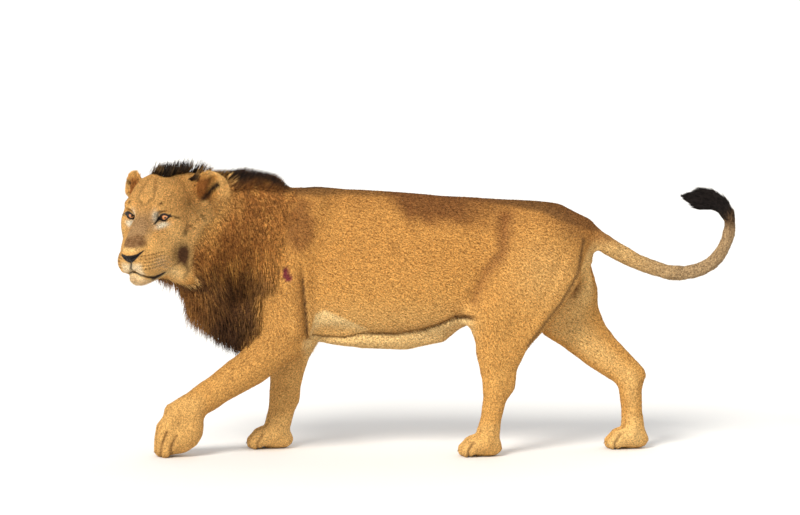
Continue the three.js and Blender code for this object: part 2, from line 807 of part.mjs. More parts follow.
// The legs, each from the foot up.
const forelimb = (leg) => boneFrame(leg.elbow, leg.wrist);
take("paw_fore_left", [[-980, -230, -10], [-724, -20, 300]]);
take("forearm_left", [[22, -104, -100], [480, 104, 110], forelimb(LEFT_FORE)]);
take("upper_arm_left", [[-556, -260, 380], [-318, -66, 730]]);
take("paw_fore_right", [[-640, 20, -10], [-380, 200, 150]]);
take("forearm_right", [[-560, 20, 140], [-290, 220, 392]]);
take("upper_arm_right", [[-556, 66, 380], [-300, 260, 730]]);
take("paw_hind_left", [[150, -220, -10], [440, -20, 116]]);
take("foot_left", [[240, -220, 100], [520, -20, 258]]);
take("shank_left", [[220, -220, 240], [580, -20, 446]]);
take("thigh_left", [[240, -260, 440], [720, -56, 800]]);
take("paw_hind_right", [[700, 20, -10], [1000, 220, 116]]);
take("foot_right", [[780, 20, 100], [980, 220, 262]]);
take("shank_right", [[560, 20, 240], [980, 220, 470]]);
take("thigh_right", [[500, 56, 460], [800, 260, 800]]);

// The head in front of a plane across the neck and above one under the jaw.
const neckCut = frameAt([-692, -92, 880], 0, 24.5);
take(
  "head",
  [[-600, -500, -260], [0, 500, 400], neckCut],
  [[-400, -300, -240], [400, 300, 400], headFrame],
);
take("throat_mane", [[-1000, -300, 300], [-470, 300, 730]]);
take("neck", [[-1000, -300, 680], [-450, 300, 1200]]);
take("chest", [[-600, -300, 300], [-130, 300, 1200]]);
take("belly", [[-200, -300, 300], [300, 300, 1200]]);
pieces.set("rump", rest);

// Out of the head: the leather of the nose and the lower jaw.
const LEATHER = {
  edge: [[-47, -72], [-20, -60], [20, -60], [47, -72], [30, -100], [9, -122], [-9, -122], [-30, -100]],
  behind: 160,
  depth: 80,
};
rest = pieces.get("head");
const nosePad = new THREE.Shape(LEATHER.edge.map(([b, c]) => new THREE.Vector2(b, c)));
function noseBlock(grow) {
  const geometry = new THREE.ExtrudeGeometry(nosePad, { depth: LEATHER.depth, bevelEnabled: false });
  const facing = new THREE.Matrix4().makeBasis(vector([0, 1, 0]), vector([0, 0, 1]), vector([1, 0, 0]));
  geometry.scale(1 + grow / 40, 1, 1).translate(0, 0, LEATHER.behind - grow);
  return solidOf(geometry.applyMatrix4(facing).applyMatrix4(headFrame));
}
pieces.set("nose", whole(rest.intersect(noseBlock(0))));
rest = whole(rest.subtract(noseBlock(SEAM)));
const mouth = frameAt([176, 0, -172], 14.5);
const mouthFrame = headFrame.clone().multiply(mouth);
take("lower_jaw", [[-146, -140, -160], [60, 140, 0], mouthFrame]);
pieces.set("head", rest);

/* ---------------------------------------------------------------- scene graph */

// Colour and roughness of each finish, and the nodes that have it, by the start of their names.
const FINISHES = [
  [["eye"], 0xb87333, 0.15],
  [["claw"], 0x5b4a3a, 0.45],
  [["nose"], 0x2a1d18, 0.5],
  [["tail_tuft"], 0x17110d, 0.95],
  [["throat_mane", "neck"], 0x6d4a2a, 0.95],
  [["lower_jaw"], 0xd9c39a, 0.9],
  [["head", "ear"], 0xc79a5c, 0.9],
  [[""], 0xb88648, 0.9],
];

function materialOf(name) {
  const has = ([starts]) => starts.some((start) => name.startsWith(start));
  const [, color, roughness] = FINISHES.find(has);
  return new THREE.MeshStandardMaterial({ color, roughness, metalness: 0 });
}

const group = new THREE.Group();
for (const [name, solid] of pieces) {
  const mesh = new THREE.Mesh(geometryOf(solid), materialOf(name));
  mesh.name = name;
  group.add(mesh);
}

// The origin is on the floor under the middle of the whole animal's bounding box.
const bounds = new THREE.Box3().setFromObject(group);
const middle = bounds.getCenter(new THREE.Vector3());
group.position.set(-middle.x, -middle.y, -bounds.min.z);

export default group;
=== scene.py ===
"""A life-size Asiatic lion, walking with its head turned: skin, coat, mane, eyes and a plain studio.

Lengths are metres. The lion faces -X, its left side faces -Y and +Z is up. Landmarks are kept in the
lion's own frame, whose origin is on the floor under the middle of its back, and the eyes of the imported
model say how far that frame is shifted.
"""

import logging
import math
from collections.abc import Callable, Sequence
from dataclasses import dataclass, field
from enum import Enum

import bmesh
import bpy
import numpy as np
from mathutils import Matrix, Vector
from mathutils.bvhtree import BVHTree


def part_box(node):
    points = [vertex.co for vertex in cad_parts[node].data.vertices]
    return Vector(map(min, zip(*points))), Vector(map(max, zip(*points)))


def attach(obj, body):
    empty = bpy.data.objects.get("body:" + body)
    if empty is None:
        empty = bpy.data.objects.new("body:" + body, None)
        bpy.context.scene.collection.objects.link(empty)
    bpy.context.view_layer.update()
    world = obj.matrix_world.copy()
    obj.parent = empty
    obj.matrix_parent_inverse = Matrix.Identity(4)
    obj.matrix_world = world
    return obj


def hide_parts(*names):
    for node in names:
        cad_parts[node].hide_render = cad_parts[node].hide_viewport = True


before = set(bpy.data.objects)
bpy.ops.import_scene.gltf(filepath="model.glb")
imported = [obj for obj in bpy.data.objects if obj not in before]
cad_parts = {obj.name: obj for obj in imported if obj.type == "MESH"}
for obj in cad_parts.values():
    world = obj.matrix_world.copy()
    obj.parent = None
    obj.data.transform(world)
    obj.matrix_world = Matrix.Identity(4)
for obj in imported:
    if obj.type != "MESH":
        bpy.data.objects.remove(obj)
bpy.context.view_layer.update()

LOG = logging.getLogger("lion")
Array = np.ndarray

BAKE_MAP = "OFBake"
PATCH = 0.003
BODY = "root"
TINY = 1e-6


class Side(Enum):
    """A side of the animal, with the sign of its place across the head."""

    LEFT = 1
    RIGHT = -1

    @property
    def word(self) -> str:
        """The side's name in the model's nodes."""
        return self.name.lower()

    @property
    def mirror(self) -> Array:
        """Factors that carry head-frame places of the left side to this one, and back."""
        return np.array([1.0, self.value, 1.0])


# ---- small maths on arrays


def ramp(values: Array, low: float, high: float) -> Array:
    """Rises smoothly from 0 at low to 1 at high, or falls where high is the lower."""
    t = np.clip((values - low) / (high - low), 0.0, 1.0)
    return t * t * (3.0 - 2.0 * t)


def window(values: Array, low: float, low_in: float, high: float, high_in: float) -> Array:
    """1 between two edges: rises from low to low_in and falls from high_in to high."""
    return ramp(values, low, low_in) * ramp(values, high, high_in)


def bell(distance: Array, width: float | Array) -> Array:
    """1 at no distance, fading to nothing past about twice the width."""
    return np.exp(-((distance / width) ** 2))


def unit(vectors: Array) -> Array:
    """The vectors at length 1."""
    return vectors / np.maximum(np.linalg.norm(vectors, axis=-1, keepdims=True), 1e-9)


def mixed(a: Array, b: Array, share: Array) -> Array:
    """a where share is 0, b where it is 1."""
    return a + (b - a) * share[..., None]


def to_line(points: Array, line: Sequence[Sequence[float]]) -> tuple[Array, Array, Array]:
    """Measures points against a bent line.

    Args:
        points: The places, one a row.
        line: The line's corners.

    Returns:
        Each point's distance to the line, how far along it is (0 to 1) and the line's direction there.
    """
    corners = np.array(line, float)
    spans = np.linalg.norm(np.diff(corners, axis=0), axis=1)
    starts = np.concatenate([[0.0], np.cumsum(spans)])
    best = np.full(len(points), np.inf)
    along = np.zeros(len(points))
    direction = np.zeros((len(points), corners.shape[1]))
    for a, b, span, start in zip(corners, corners[1:], spans, starts):
        t = np.clip((points - a) @ (b - a) / span**2, 0.0, 1.0)
        far = np.linalg.norm(points - a - t[:, None] * (b - a), axis=1)
        closer = far < best
        best[closer] = far[closer]
        along[closer] = (start + t[closer] * span) / starts[-1]
        direction[closer] = (b - a) / span
    return best, along, direction


def off_line(points: Array, line: Sequence[Sequence[float]]) -> Array:
    """Each point's distance to a bent line."""
    return to_line(points, line)[0]


class Ripple:
    """Smooth seeded noise from a few sine waves, for uneven edges and mottling."""

    WAVES = 10

    def __init__(self, seed: int, wave: float) -> None:
        """Draws the waves.

        Args:
            seed: Which noise.
            wave: The usual wavelength.
        """
        rng = np.random.default_rng(seed)
        self.turns = rng.normal(size=(3, self.WAVES)) * 2.0 * math.pi / wave * 0.6
        self.starts = rng.uniform(0.0, 2.0 * math.pi, self.WAVES)

    def at(self, points: Array) -> Array:
        """The noise at each point, mostly between -1 and 1."""
        return np.sin(points @ self.turns + self.starts).mean(axis=1) * 2.2


# ---- where things are


@dataclass(frozen=True)
class HeadFrame:
    """The head's own frame: forward, left and up from the point between the eyes."""

    origin: Array
    forward: Array
    left: Array
    up: Array

    @staticmethod
    def from_eyes(pitch: float = math.radians(15.0), deep: float = 0.019) -> "HeadFrame":
        """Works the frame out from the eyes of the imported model.

        Args:
            pitch: How far the face looks down.
            deep: How far the eyes' centres lie behind the frame's origin.

        Returns:
            The frame, in the model's space.
        """
        centres = [sum(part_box(f"eye_{side.word}"), Vector()) / 2 for side in Side]
        left = unit(np.array(centres[0] - centres[1]))
        level = np.array([left[1], -left[0], 0.0])
        forward = level * math.cos(pitch) - np.array([0.0, 0.0, math.sin(pitch)])
        middle = np.array((centres[0] + centres[1]) / 2)
        return HeadFrame(middle + deep * forward, forward, left, np.cross(forward, left))

    @property
    def axes(self) -> Array:
        """The three directions as rows."""
        return np.stack([self.forward, self.left, self.up])

    def local(self, points: Array) -> Array:
        """Points of the model's space in the head's frame."""
        return (points - self.origin) @ self.axes.T

    def world(self, points: Array) -> Array:
        """Points of the head's frame in the model's space."""
        return self.origin + points @ self.axes

    def turned(self, vectors: Array) -> Array:
        """Directions of the head's frame in the model's space."""
        return vectors @ self.axes


@dataclass(frozen=True)
class Eye:
    """Sizes of an eye and its opening, in the head's frame."""

    across: float = 0.07
    deep: float = 0.019
    radius: float = 0.0205
    lid: float = 0.0026
    half: float = 0.019
    shift: float = 0.0008
    tilt: float = 0.23
    drop: float = 0.0038
    above: float = 0.0124
    below: float = 0.0096

    def edge(self, over: Array, upper: bool) -> Array:
        """Height of a lid's edge at a place across the eye, the outer corner being positive."""
        t = np.clip((over - self.shift) / self.half, -1.0, 1.0)
        rise = self.tilt * (over - self.shift) - self.drop
        bow = 1.0 - np.abs(t) ** 2.2
        return rise + (self.above if upper else -self.below) * bow

    def open_by(self, over: Array, height: Array) -> Array:
        """How far a place lies inside the opening, negative outside it."""
        inside = np.minimum(self.edge(over, True) - height, height - self.edge(over, False))
        return np.minimum(inside, self.half - np.abs(over - self.shift))

    def centre(self, side: Side) -> Array:
        """The eyeball's centre in the head's frame."""
        return np.array([-self.deep, side.value * self.across, 0.0])


@dataclass(frozen=True)
class Ear:
    """An ear's place and the way its bowl opens, in the head's frame, on the left side."""

    centres: tuple = ((-0.228, 0.167, 0.031), (-0.216, 0.154, 0.02))
    opens: tuple = (0.62, 0.74, 0.22)
    rises: tuple = (-0.2, 0.06, 1.0)
    size: tuple = (0.036, 0.061, 0.069)
    hollow: tuple = (
        (-0.248, 0.187, 0.036), (-0.238, 0.171, 0.023), (-0.22, 0.162, 0.013),
        (-0.181, 0.163, 0.016), (-0.174, 0.147, 0.003),
    )

    def dark(self, points: Array, width: float) -> Array:
        """How near head-frame points are to the hollow of the ear on their side, where its shade is
        painted.
        """
        a, b, c = points.T
        return bell(off_line(np.stack([a, np.abs(b), c], 1), self.hollow), width)

    def local(self, points: Array, side: Side) -> Array:
        """Head-frame points as depth towards the opening, place across and height in the ear."""
        centre = np.array(self.centres[0 if side is Side.LEFT else 1])
        return (points * side.mirror - centre) @ self.axes.T

    @property
    def axes(self) -> Array:
        """The left ear's directions as rows: out of its opening, across to its rear rim, and up."""
        opens = unit(np.array(self.opens))
        across = unit(np.cross(np.array(self.rises), opens))
        return np.stack([opens, across, np.cross(opens, across)])

    def across(self, side: Side) -> Array:
        """The way to the rear rim in the head's frame."""
        return self.axes[1] * side.mirror

    def rise(self, side: Side) -> Array:
        """The ear's upward direction in the head's frame."""
        return self.axes[2] * side.mirror


@dataclass(frozen=True)
class Bones:
    """Lines down the limbs and along the tail, in the lion's frame; the coat lies along them."""

    upper_arms: tuple = (
        ((-0.335, -0.074, 0.925), (-0.478, -0.098, 0.69), (-0.424, -0.12, 0.462)),
        ((-0.35, 0.074, 0.925), (-0.47, 0.094, 0.66), (-0.392, 0.108, 0.445)),
    )
    forearms: tuple = (
        ((-0.424, -0.12, 0.462), (-0.735, -0.126, 0.226), (-0.86, -0.126, 0.16),
         (-0.915, -0.126, 0.03)),
        ((-0.392, 0.108, 0.445), (-0.44, 0.106, 0.2), (-0.472, 0.104, 0.066),
         (-0.56, 0.104, 0.02)),
    )
    hindlegs: tuple = (
        ((0.548, -0.08, 0.815), (0.385, -0.108, 0.52), (0.372, -0.11, 0.262), (0.33, -0.112, 0.06),
         (0.248, -0.112, 0.02)),
        ((0.59, 0.08, 0.815), (0.64, 0.1, 0.52), (0.876, 0.102, 0.274), (0.89, 0.102, 0.06),
         (0.802, 0.102, 0.02)),
    )
    tail: tuple = (
        (0.69, 0.0, 0.85), (0.8, 0.0, 0.784), (0.912, 0.0, 0.724), (1.06, 0.0, 0.684),
        (1.18, 0.0, 0.72), (1.238, 0.0, 0.8), (1.252, 0.0, 0.89), (1.205, 0.0, 0.95),
        (1.085, 0.0, 0.976),
    )
    flank: tuple = ((0.388, 0.78), (0.323, 0.707), (0.278, 0.59))
    ridge: tuple = (
        (-0.95, -0.172, 1.072), (-0.928, -0.15, 1.081), (-0.852, -0.107, 1.082),
        (-0.746, -0.072, 1.066), (-0.652, -0.046, 1.046), (-0.537, -0.014, 1.032),
        (-0.44, -0.003, 0.998),
    )


@dataclass(frozen=True)
class Creases:
    """Creases of the face on the left side, in the head's frame; they are cut in and dark."""

    brow: tuple = ((0.011, 0.009, 0.051), (-0.01, 0.034, 0.07), (-0.05, 0.026, 0.098))
    ear: tuple = ((-0.137, 0.119, -0.001), (-0.106, 0.173, -0.055))
    mouth: tuple = ((0.004, 0.124, -0.176), (0.026, 0.1, -0.19), (0.042, 0.078, -0.211))


@dataclass(frozen=True)
class Feet:
    """Where the feet divide into toes, in the lion's frame."""

    places: tuple = (
        (-0.868, -0.126, 0.19),
        (-0.49, 0.104, 0.105),
        (0.312, -0.112, 0.1),
        (0.872, 0.102, 0.1),
    )
    apart: float = 0.031
    groove: float = 0.0052
    lifted: float = 0.15
    raised: tuple = (
        ((-0.91, -0.01), (-0.904, 0.05), (-0.884, 0.1)),
        ((-0.868, -0.01), (-0.866, 0.045), (-0.85, 0.082)),
    )
    standing: tuple = (
        ((-0.05, -0.01), (-0.054, 0.025), (-0.034, 0.058)),
        ((-0.098, -0.01), (-0.1, 0.02), (-0.088, 0.048)),
    )

    def toes(self, p: Array) -> tuple[Array, Array]:
        """The grooves between the toes and the swelling of the toes, each from 0 to 1.

        Args:
            p: Places in the lion's frame.

        Returns:
            The grooves' shares and the toes' shares.
        """
        grooves = np.zeros(len(p))
        swelling = np.zeros(len(p))
        for x, y, z in self.places:
            aside = np.abs(p[:, 1] - y)
            here = window(p[:, 0], x + 0.006, x - 0.02, x - 0.16, x - 0.13)
            here = here * ramp(p[:, 2], z + 0.02, z) * ramp(aside, 0.11, 0.09)
            off = (p[:, 1] - y) / self.apart
            split = np.abs(off - np.clip(np.round(off), -1.0, 1.0)) * self.apart
            toe = off - np.clip(np.floor(off) + 0.5, -1.5, 1.5)
            grooves = np.maximum(grooves, here * bell(split, self.groove))
            swelling = np.maximum(swelling, here * bell(toe, 0.34))
            beside = window(aside, 0.026, 0.038, 0.11, 0.09)
            lifted = z > self.lifted
            for line in self.raised if lifted else self.standing:
                far = off_line(p[:, [0, 2]] - np.array([0.0 if lifted else x, 0.0]), line)
                grooves = np.maximum(grooves, 0.9 * beside * bell(far, 0.0058))
        return grooves, swelling

    def near(self, p: Array) -> Array:
        """Whether each place is among the toes."""
        inside = np.zeros(len(p), bool)
        for x, y, z in self.places:
            along = (p[:, 0] < x + 0.01) & (p[:, 0] > x - 0.17)
            inside |= along & (p[:, 2] < z + 0.02) & (np.abs(p[:, 1] - y) < 0.1)
        return inside


class Marking(Enum):
    """The colours of the coat and of bare skin, before light and wear."""

    TAWNY = (0.7, 0.345, 0.086)
    GOLD = (0.79, 0.43, 0.12)
    CREAM = (0.92, 0.59, 0.22)
    PALE = (1.0, 0.72, 0.33)
    WHITE = (0.95, 0.86, 0.66)
    BROWN = (0.3, 0.115, 0.028)
    RUST = (0.43, 0.155, 0.034)
    UMBER = (0.09, 0.038, 0.015)
    GREY = (0.5, 0.34, 0.18)
    BLACK = (0.014, 0.01, 0.009)
    FLESH = (0.17, 0.026, 0.03)


TAWNY, GOLD, CREAM, PALE, WHITE, BROWN, RUST, UMBER, GREY, BLACK, FLESH = Marking


class Paint:
    """Colours laid over one another at many places."""

    def __init__(self, count: int, base: Marking) -> None:
        """Starts with one colour everywhere.

        Args:
            count: How many places there are.
            base: The first colour.
        """
        self.colour = np.tile(base.value, (count, 1))

    def lay(self, marking: Marking, share: Array) -> None:
        """Lays a colour over the others, as thickly as share says."""
        self.colour = mixed(self.colour, np.array(marking.value), np.clip(share, 0.0, 1.0))


class Atlas:
    """Says, for any place on the lion, how long, how coloured and which way the coat is."""

    BETWEEN_EYES = (-0.958, -0.225, 0.93)
    FACE_EDGE = (
        (-0.32, 0.02), (-0.29, -0.01), (-0.27, -0.03), (-0.228, -0.008), (-0.2, -0.004),
        (-0.17, -0.012), (-0.137, -0.034), (-0.105, -0.062), (-0.071, -0.112), (-0.045, -0.18),
        (0.0, -0.225), (0.05, -0.215), (0.09, -0.19), (0.11, -0.12),
    )

    def __init__(self) -> None:
        """Reads the head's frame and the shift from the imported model."""
        self.head = HeadFrame.from_eyes()
        self.shift = self.head.origin - np.array(self.BETWEEN_EYES)
        self.eye = Eye()
        self.ear = Ear()
        self.bones = Bones()
        self.creases = Creases()
        self.feet = Feet()
        self.broad = Ripple(3, 0.16)
        self.patchy = Ripple(5, 0.055)
        self.fine = Ripple(7, 0.018)

    def body(self, points: Array) -> Array:
        """Points of the model's space in the lion's own frame."""
        return points - self.shift

    def both(self, points: Array) -> tuple[Array, Array]:
        """Points of the model's space in the lion's frame and in the head's."""
        return self.body(points), self.head.local(points)

    # ---- regions, each from 0 to 1

    def ear_at(self, q: Array, side: Side) -> tuple[Array, Array]:
        """One ear's share, and places in the ear over its size: depth, across and height."""
        e = self.ear.local(q, side) / np.array(self.ear.size)
        share = ramp(np.linalg.norm(e, axis=1), 1.35, 1.12) * ramp(e[:, 2], -0.75, -0.35)
        return share, e

    def ears(self, q: Array) -> Array:
        """Where the ears are, from points in the head's frame."""
        return np.maximum(*(self.ear_at(q, side)[0] for side in Side))

    def tuft(self, p: Array) -> Array:
        """The black tuft at the tail's end."""
        far, along, _ = to_line(p, self.bones.tail)
        return ramp(far, 0.09, 0.07) * ramp(along, 0.765, 0.8) * ramp(p[:, 0], 0.74, 0.8)

    def tail(self, p: Array) -> Array:
        """The tail from its root on."""
        far, along, _ = to_line(p, self.bones.tail)
        return ramp(far, 0.1, 0.08) * ramp(along, 0.02, 0.1)

    def forelegs(self, p: Array) -> Array:
        """The forelegs below the elbow, on either side."""
        far = np.minimum(*(off_line(p, line) for line in self.bones.forearms))
        return ramp(far, 0.125, 0.092) * ramp(p[:, 2], 0.52, 0.44)

    def paws(self, p: Array) -> Array:
        """The feet."""
        x, _, z = p.T
        low = ramp(z, 0.15, 0.11)
        raised = ramp(x, -0.72, -0.76) * ramp(z, 0.26, 0.21)
        return np.maximum(low, raised)

    def behind_face(self, q: Array) -> Array:
        """How far a place lies behind the line where the face's short hair ends."""
        a, b, c = q.T
        heights, fronts = np.array(self.FACE_EDGE).T
        forehead = 0.85 * np.maximum(np.abs(b) - 0.02, 0.0) * ramp(c, 0.075, 0.1)
        return np.interp(c, heights, fronts) - forehead - a

    def mane_edge(self, z: Array) -> Array:
        """How far back the mane reaches at a height, leaning from the withers to the chest."""
        return np.interp(z, [0.45, 0.62, 0.8, 0.95, 1.03], [-0.55, -0.52, -0.455, -0.4, -0.37])

    def mane(self, p: Array, q: Array) -> Array:
        """The mane: behind the face and before its back edge, the forelegs and ears left out."""
        uneven = 0.022 * self.patchy.at(p) + 0.02 * self.broad.at(p)
        x, _, z = p.T
        behind = ramp(x + uneven - self.mane_edge(z), 0.04, -0.04) * ramp(z, 0.31, 0.35)
        beyond = ramp(self.behind_face(q) - 0.25 * uneven, -0.012, 0.012)
        return behind * beyond * (1.0 - self.forelegs(p)) * (1.0 - self.ears(q))

    def face(self, p: Array, q: Array) -> Array:
        """The short-haired face, ears left out."""
        centre = q - np.array([-0.045, 0.0, -0.05])
        reach = np.linalg.norm(centre / np.array([0.27, 0.21, 0.25]), axis=1)
        return ramp(reach, 1.12, 0.92) * (1.0 - self.mane(p, q))

    def crest(self, p: Array, narrow: float = 1.0) -> Array:
        """The ridge of long dark hair from the crown to the withers.

        Args:
            p: Places in the lion's frame.
            narrow: The ridge's width over that of the growing hair.

        Returns:
            The ridge's share, from 0 to 1.
        """
        far, along, _ = to_line(p, self.bones.ridge)
        reach = narrow * (0.066 - 0.016 * ramp(along, 0.25, 0.45))
        return ramp(far, reach + 0.012, 0.45 * reach) * ramp(p[:, 0], -0.36, -0.5)

    # ---- the skin's depth under the coat's tips

    def depth(self, p: Array, q: Array) -> Array:
        """How far the skin lies under the outline of the coat.

        Args:
            p: Places in the lion's frame.
            q: The same in the head's frame.

        Returns:
            The depths.
        """
        deep = np.full(len(p), 0.007)
        z = p[:, 2]
        deep += 0.003 * window(z, 0.6, 0.48, 0.36, 0.42)
        deep += (0.0045 - deep) * ramp(z, 0.42, 0.3)
        deep += (0.0042 - deep) * self.tail(p)
        deep += (0.013 - deep) * self.tuft(p)
        throat = ramp(z, 0.86, 0.66)
        deep += (0.014 + 0.026 * np.maximum(throat, self.crest(p)) - deep) * self.mane(p, q)
        deep += (0.0034 - deep) * self.face(p, q)
        deep += (0.003 - deep) * self.ears(q)
        return deep + (0.0032 - deep) * self.paws(p)

    # ---- the lie of the coat

    def lie(self, p: Array, q: Array, normals: Array) -> Array:
        """The direction the coat lies in, along the skin.

        Args:
            p: Places in the lion's frame.
            q: The same in the head's frame.
            normals: The skin's normals there.

        Returns:
            Unit directions that touch the skin.
        """
        side = np.sign(p[:, 1] + 1e-6)
        way = np.tile([1.0, 0.0, -0.32], (len(p), 1))
        way[:, 2] -= 0.35 * ramp(p[:, 0], 0.25, 0.55) * ramp(p[:, 2], 0.95, 0.75)
        way[:, 2] -= 0.3 * ramp(p[:, 0], -0.2, -0.36)
        for group, reach in ((self.bones.upper_arms, 0.13), (self.bones.hindlegs, 0.12)):
            for line in group:
                far, along, ahead = to_line(p, line)
                share = 0.75 * ramp(far, reach + 0.03, reach - 0.05) * ramp(along, 0.05, 0.45)
                way = mixed(way, ahead + np.array([0.25, 0.0, 0.0]), share)
        for line in self.bones.forearms:
            far, along, ahead = to_line(p, line)
            way = mixed(way, ahead, ramp(far, 0.14, 0.09) * ramp(p[:, 2], 0.54, 0.42))
        far, along, ahead = to_line(p, self.bones.tail)
        way = mixed(way, ahead, ramp(far, 0.12, 0.07) * ramp(along, 0.0, 0.08))
        hang = np.stack([0.42 - 0.3 * ramp(p[:, 2], 0.95, 0.65), 0.1 * side, -np.ones(len(p))], 1)
        high = self.crest(p)
        hang = mixed(hang, np.stack([np.ones(len(p)), 0.25 * side, np.full(len(p), -0.12)], 1), high)
        way = mixed(way, hang, self.mane(p, q))
        from_nose = q - np.array([0.215, 0.0, -0.075])
        from_nose[:, 1] *= 1.25
        from_nose[:, 2] -= 0.05 * ramp(q[:, 2], -0.09, -0.15)
        way = mixed(way, self.head.turned(unit(from_nose)), self.face(p, q))
        for one in Side:
            share, e = self.ear_at(q, one)
            rise = np.tile(self.head.turned(self.ear.rise(one)), (len(p), 1))
            back = np.tile(self.head.turned(self.ear.across(one)), (len(p), 1))
            way = mixed(way, mixed(rise, back, 0.6 * ramp(e[:, 1], 0.2, -0.3)), share)
        way = way - normals * np.sum(way * normals, axis=1, keepdims=True)
        return unit(way)

    # ---- markings, the same for skin and coat

    def colours(self, p: Array, q: Array) -> Array:
        """The coat's colour at each place, mixed from the named markings.

        Args:
            p: Places in the lion's frame.
            q: The same in the head's frame.

        Returns:
            Linear colours, one a row.
        """
        paint = Paint(len(p), TAWNY)
        self._paint_trunk(paint, p)
        self._paint_underside(paint, p)
        self._paint_legs(paint, p)
        self._paint_tail(paint, p)
        self._paint_mane(paint, p, q)
        self._paint_face(paint, p, q)
        self._paint_ears(paint, q)
        paint.lay(FLESH, 1.4 * self.wound(p))
        return paint.colour

    def triceps(self, p: Array) -> Array:
        """How far a place lies behind the line where the upper arm meets the ribs."""
        return p[:, 0] + 0.362 + 0.08 * (p[:, 2] - 0.6)

    def fold_line(self, x: Array) -> Array:
        """Height of the dark crease above the fold of skin along the belly."""
        return np.interp(
            x,
            [-0.346, -0.3, -0.209, -0.133, -0.011, 0.08, 0.156, 0.209, 0.262],
            [0.456, 0.446, 0.444, 0.462, 0.459, 0.475, 0.502, 0.528, 0.53],
        )

    def wound(self, p: Array) -> Array:
        """A small raw wound behind the mane on the left shoulder."""
        far = off_line(p, ((-0.432, -0.192, 0.716), (-0.426, -0.192, 0.69)))
        return ramp(far + 0.004 * self.fine.at(p * 2.0), 0.019, 0.009)

    def _paint_trunk(self, paint: Paint, p: Array) -> None:
        """Darker back, saddle and shoulder patch on tawny sides, with painted shade in the flank's
        crease, in the groove where the upper arm meets the ribs and behind the near thigh.

        Args:
            paint: What the colours are laid on.
            p: Places in the lion's frame.
        """
        lay = paint.lay
        x, y, z = p.T
        flat = p[:, [0, 2]]
        broad, patchy, fine = self.broad.at(p), self.patchy.at(p), self.fine.at(p)
        outer = ramp(np.abs(y), 0.05, 0.09)
        lay(BROWN, 0.06 + 0.05 * broad + 0.06 * patchy + 0.05 * fine)
        lay(GOLD, 0.55 * ramp(z, 0.82, 0.52) + 0.1 * broad)
        lay(CREAM, 0.45 * ramp(z, 0.64, 0.49) * window(x, -0.37, -0.33, 0.34, 0.24))
        back = np.interp(x, [-0.4, 0.0, 0.3, 0.53, 0.72], [1.01, 1.0, 0.98, 0.95, 0.87])
        under_back = back - z
        lay(BROWN, 0.3 * ramp(under_back, 0.1, 0.01))
        spine = 0.5 * ramp(x, -0.44, -0.38) + 0.15 * ramp(x, -0.1, 0.02)
        lay(UMBER, spine * ramp(under_back, 0.026, 0.008))
        edge = 0.02 + 0.085 * ramp(x, -0.07, 0.05) + 0.012 * patchy
        saddle = window(x, -0.1, 0.03, 0.5, 0.16) * ramp(under_back, edge + 0.04, edge - 0.04)
        lay(BROWN, (0.92 + 0.1 * fine) * saddle)
        lay(UMBER, 0.24 * saddle * ramp(z, 0.86, 0.94))
        # painted shade: a brown band down the crease in front of the thigh
        band, along, _ = to_line(flat, ((0.397, 0.915), *self.bones.flank))
        width = 0.034 - 0.014 * along + 0.006 * patchy
        lay(BROWN, (0.92 - 0.34 * along) * bell(band, width) * outer)
        lay(BROWN, 0.42 * ramp(x, 0.5, 0.66) * ramp(under_back, 0.11, 0.02))
        lay(CREAM, 0.42 * bell(np.hypot(x - 0.55, z - 0.7), 0.13) * outer)
        patch = np.hypot(x + 0.384 + 0.006 * fine, (z - 0.88) / 1.45) + 0.014 * patchy
        patch = ramp(patch, 0.082, 0.04)
        lay(BROWN, (0.78 + 0.1 * fine) * patch * outer)
        lay(UMBER, 0.1 * patch**2 * outer)
        withers, along, _ = to_line(p, ((-0.44, 0.0, 1.004), (-0.285, 0.0, 1.006)))
        lay(BLACK, (0.9 - 0.45 * along) * bell(withers, 0.032))
        # painted shade: a dark line in the groove where the upper arm meets the ribs
        arm = self.triceps(p)
        tall = window(z, 0.44, 0.48, 0.73, 0.66) * ramp(np.abs(y), 0.09, 0.13)
        lay(BROWN, 0.3 * bell(arm + 0.012, 0.02) * tall)
        lay(UMBER, 0.95 * bell(arm, 0.0044) * tall)
        # painted shade: a dark line behind the near thigh, where it passes in front of the far leg
        rear = ((0.695, 0.825), (0.673, 0.699), (0.61, 0.587), (0.555, 0.519), (0.484, 0.423))
        lay(UMBER, 0.75 * bell(off_line(flat, rear), 0.006) * ramp(y, 0.0, -0.03))

    def _paint_underside(self, paint: Paint, p: Array) -> None:
        """Pale belly, its fold, painted shade in the crease above it and the insides of the thighs.

        Args:
            paint: What the colours are laid on.
            p: Places in the lion's frame.
        """
        lay = paint.lay
        x, y, z = p.T
        over = z - self.fold_line(x)
        trunk = window(x, -0.38, -0.34, 0.42, 0.34)
        between = np.maximum(ramp(x, 0.3, 0.24), ramp(np.abs(y), 0.07, 0.05))
        belly = trunk * between * window(over, 0.004, -0.008, -0.13, -0.09)
        lay(PALE, 0.8 * belly)
        top = np.interp(
            x,
            [-0.346, -0.323, -0.285, -0.209, -0.133, -0.105],
            [0.455, 0.545, 0.562, 0.526, 0.488, 0.458],
        )
        outer = ramp(np.abs(y), 0.05, 0.1)
        lay(PALE, ramp(top - z, -0.004, 0.01) * trunk * outer * ramp(x, -0.09, -0.12))
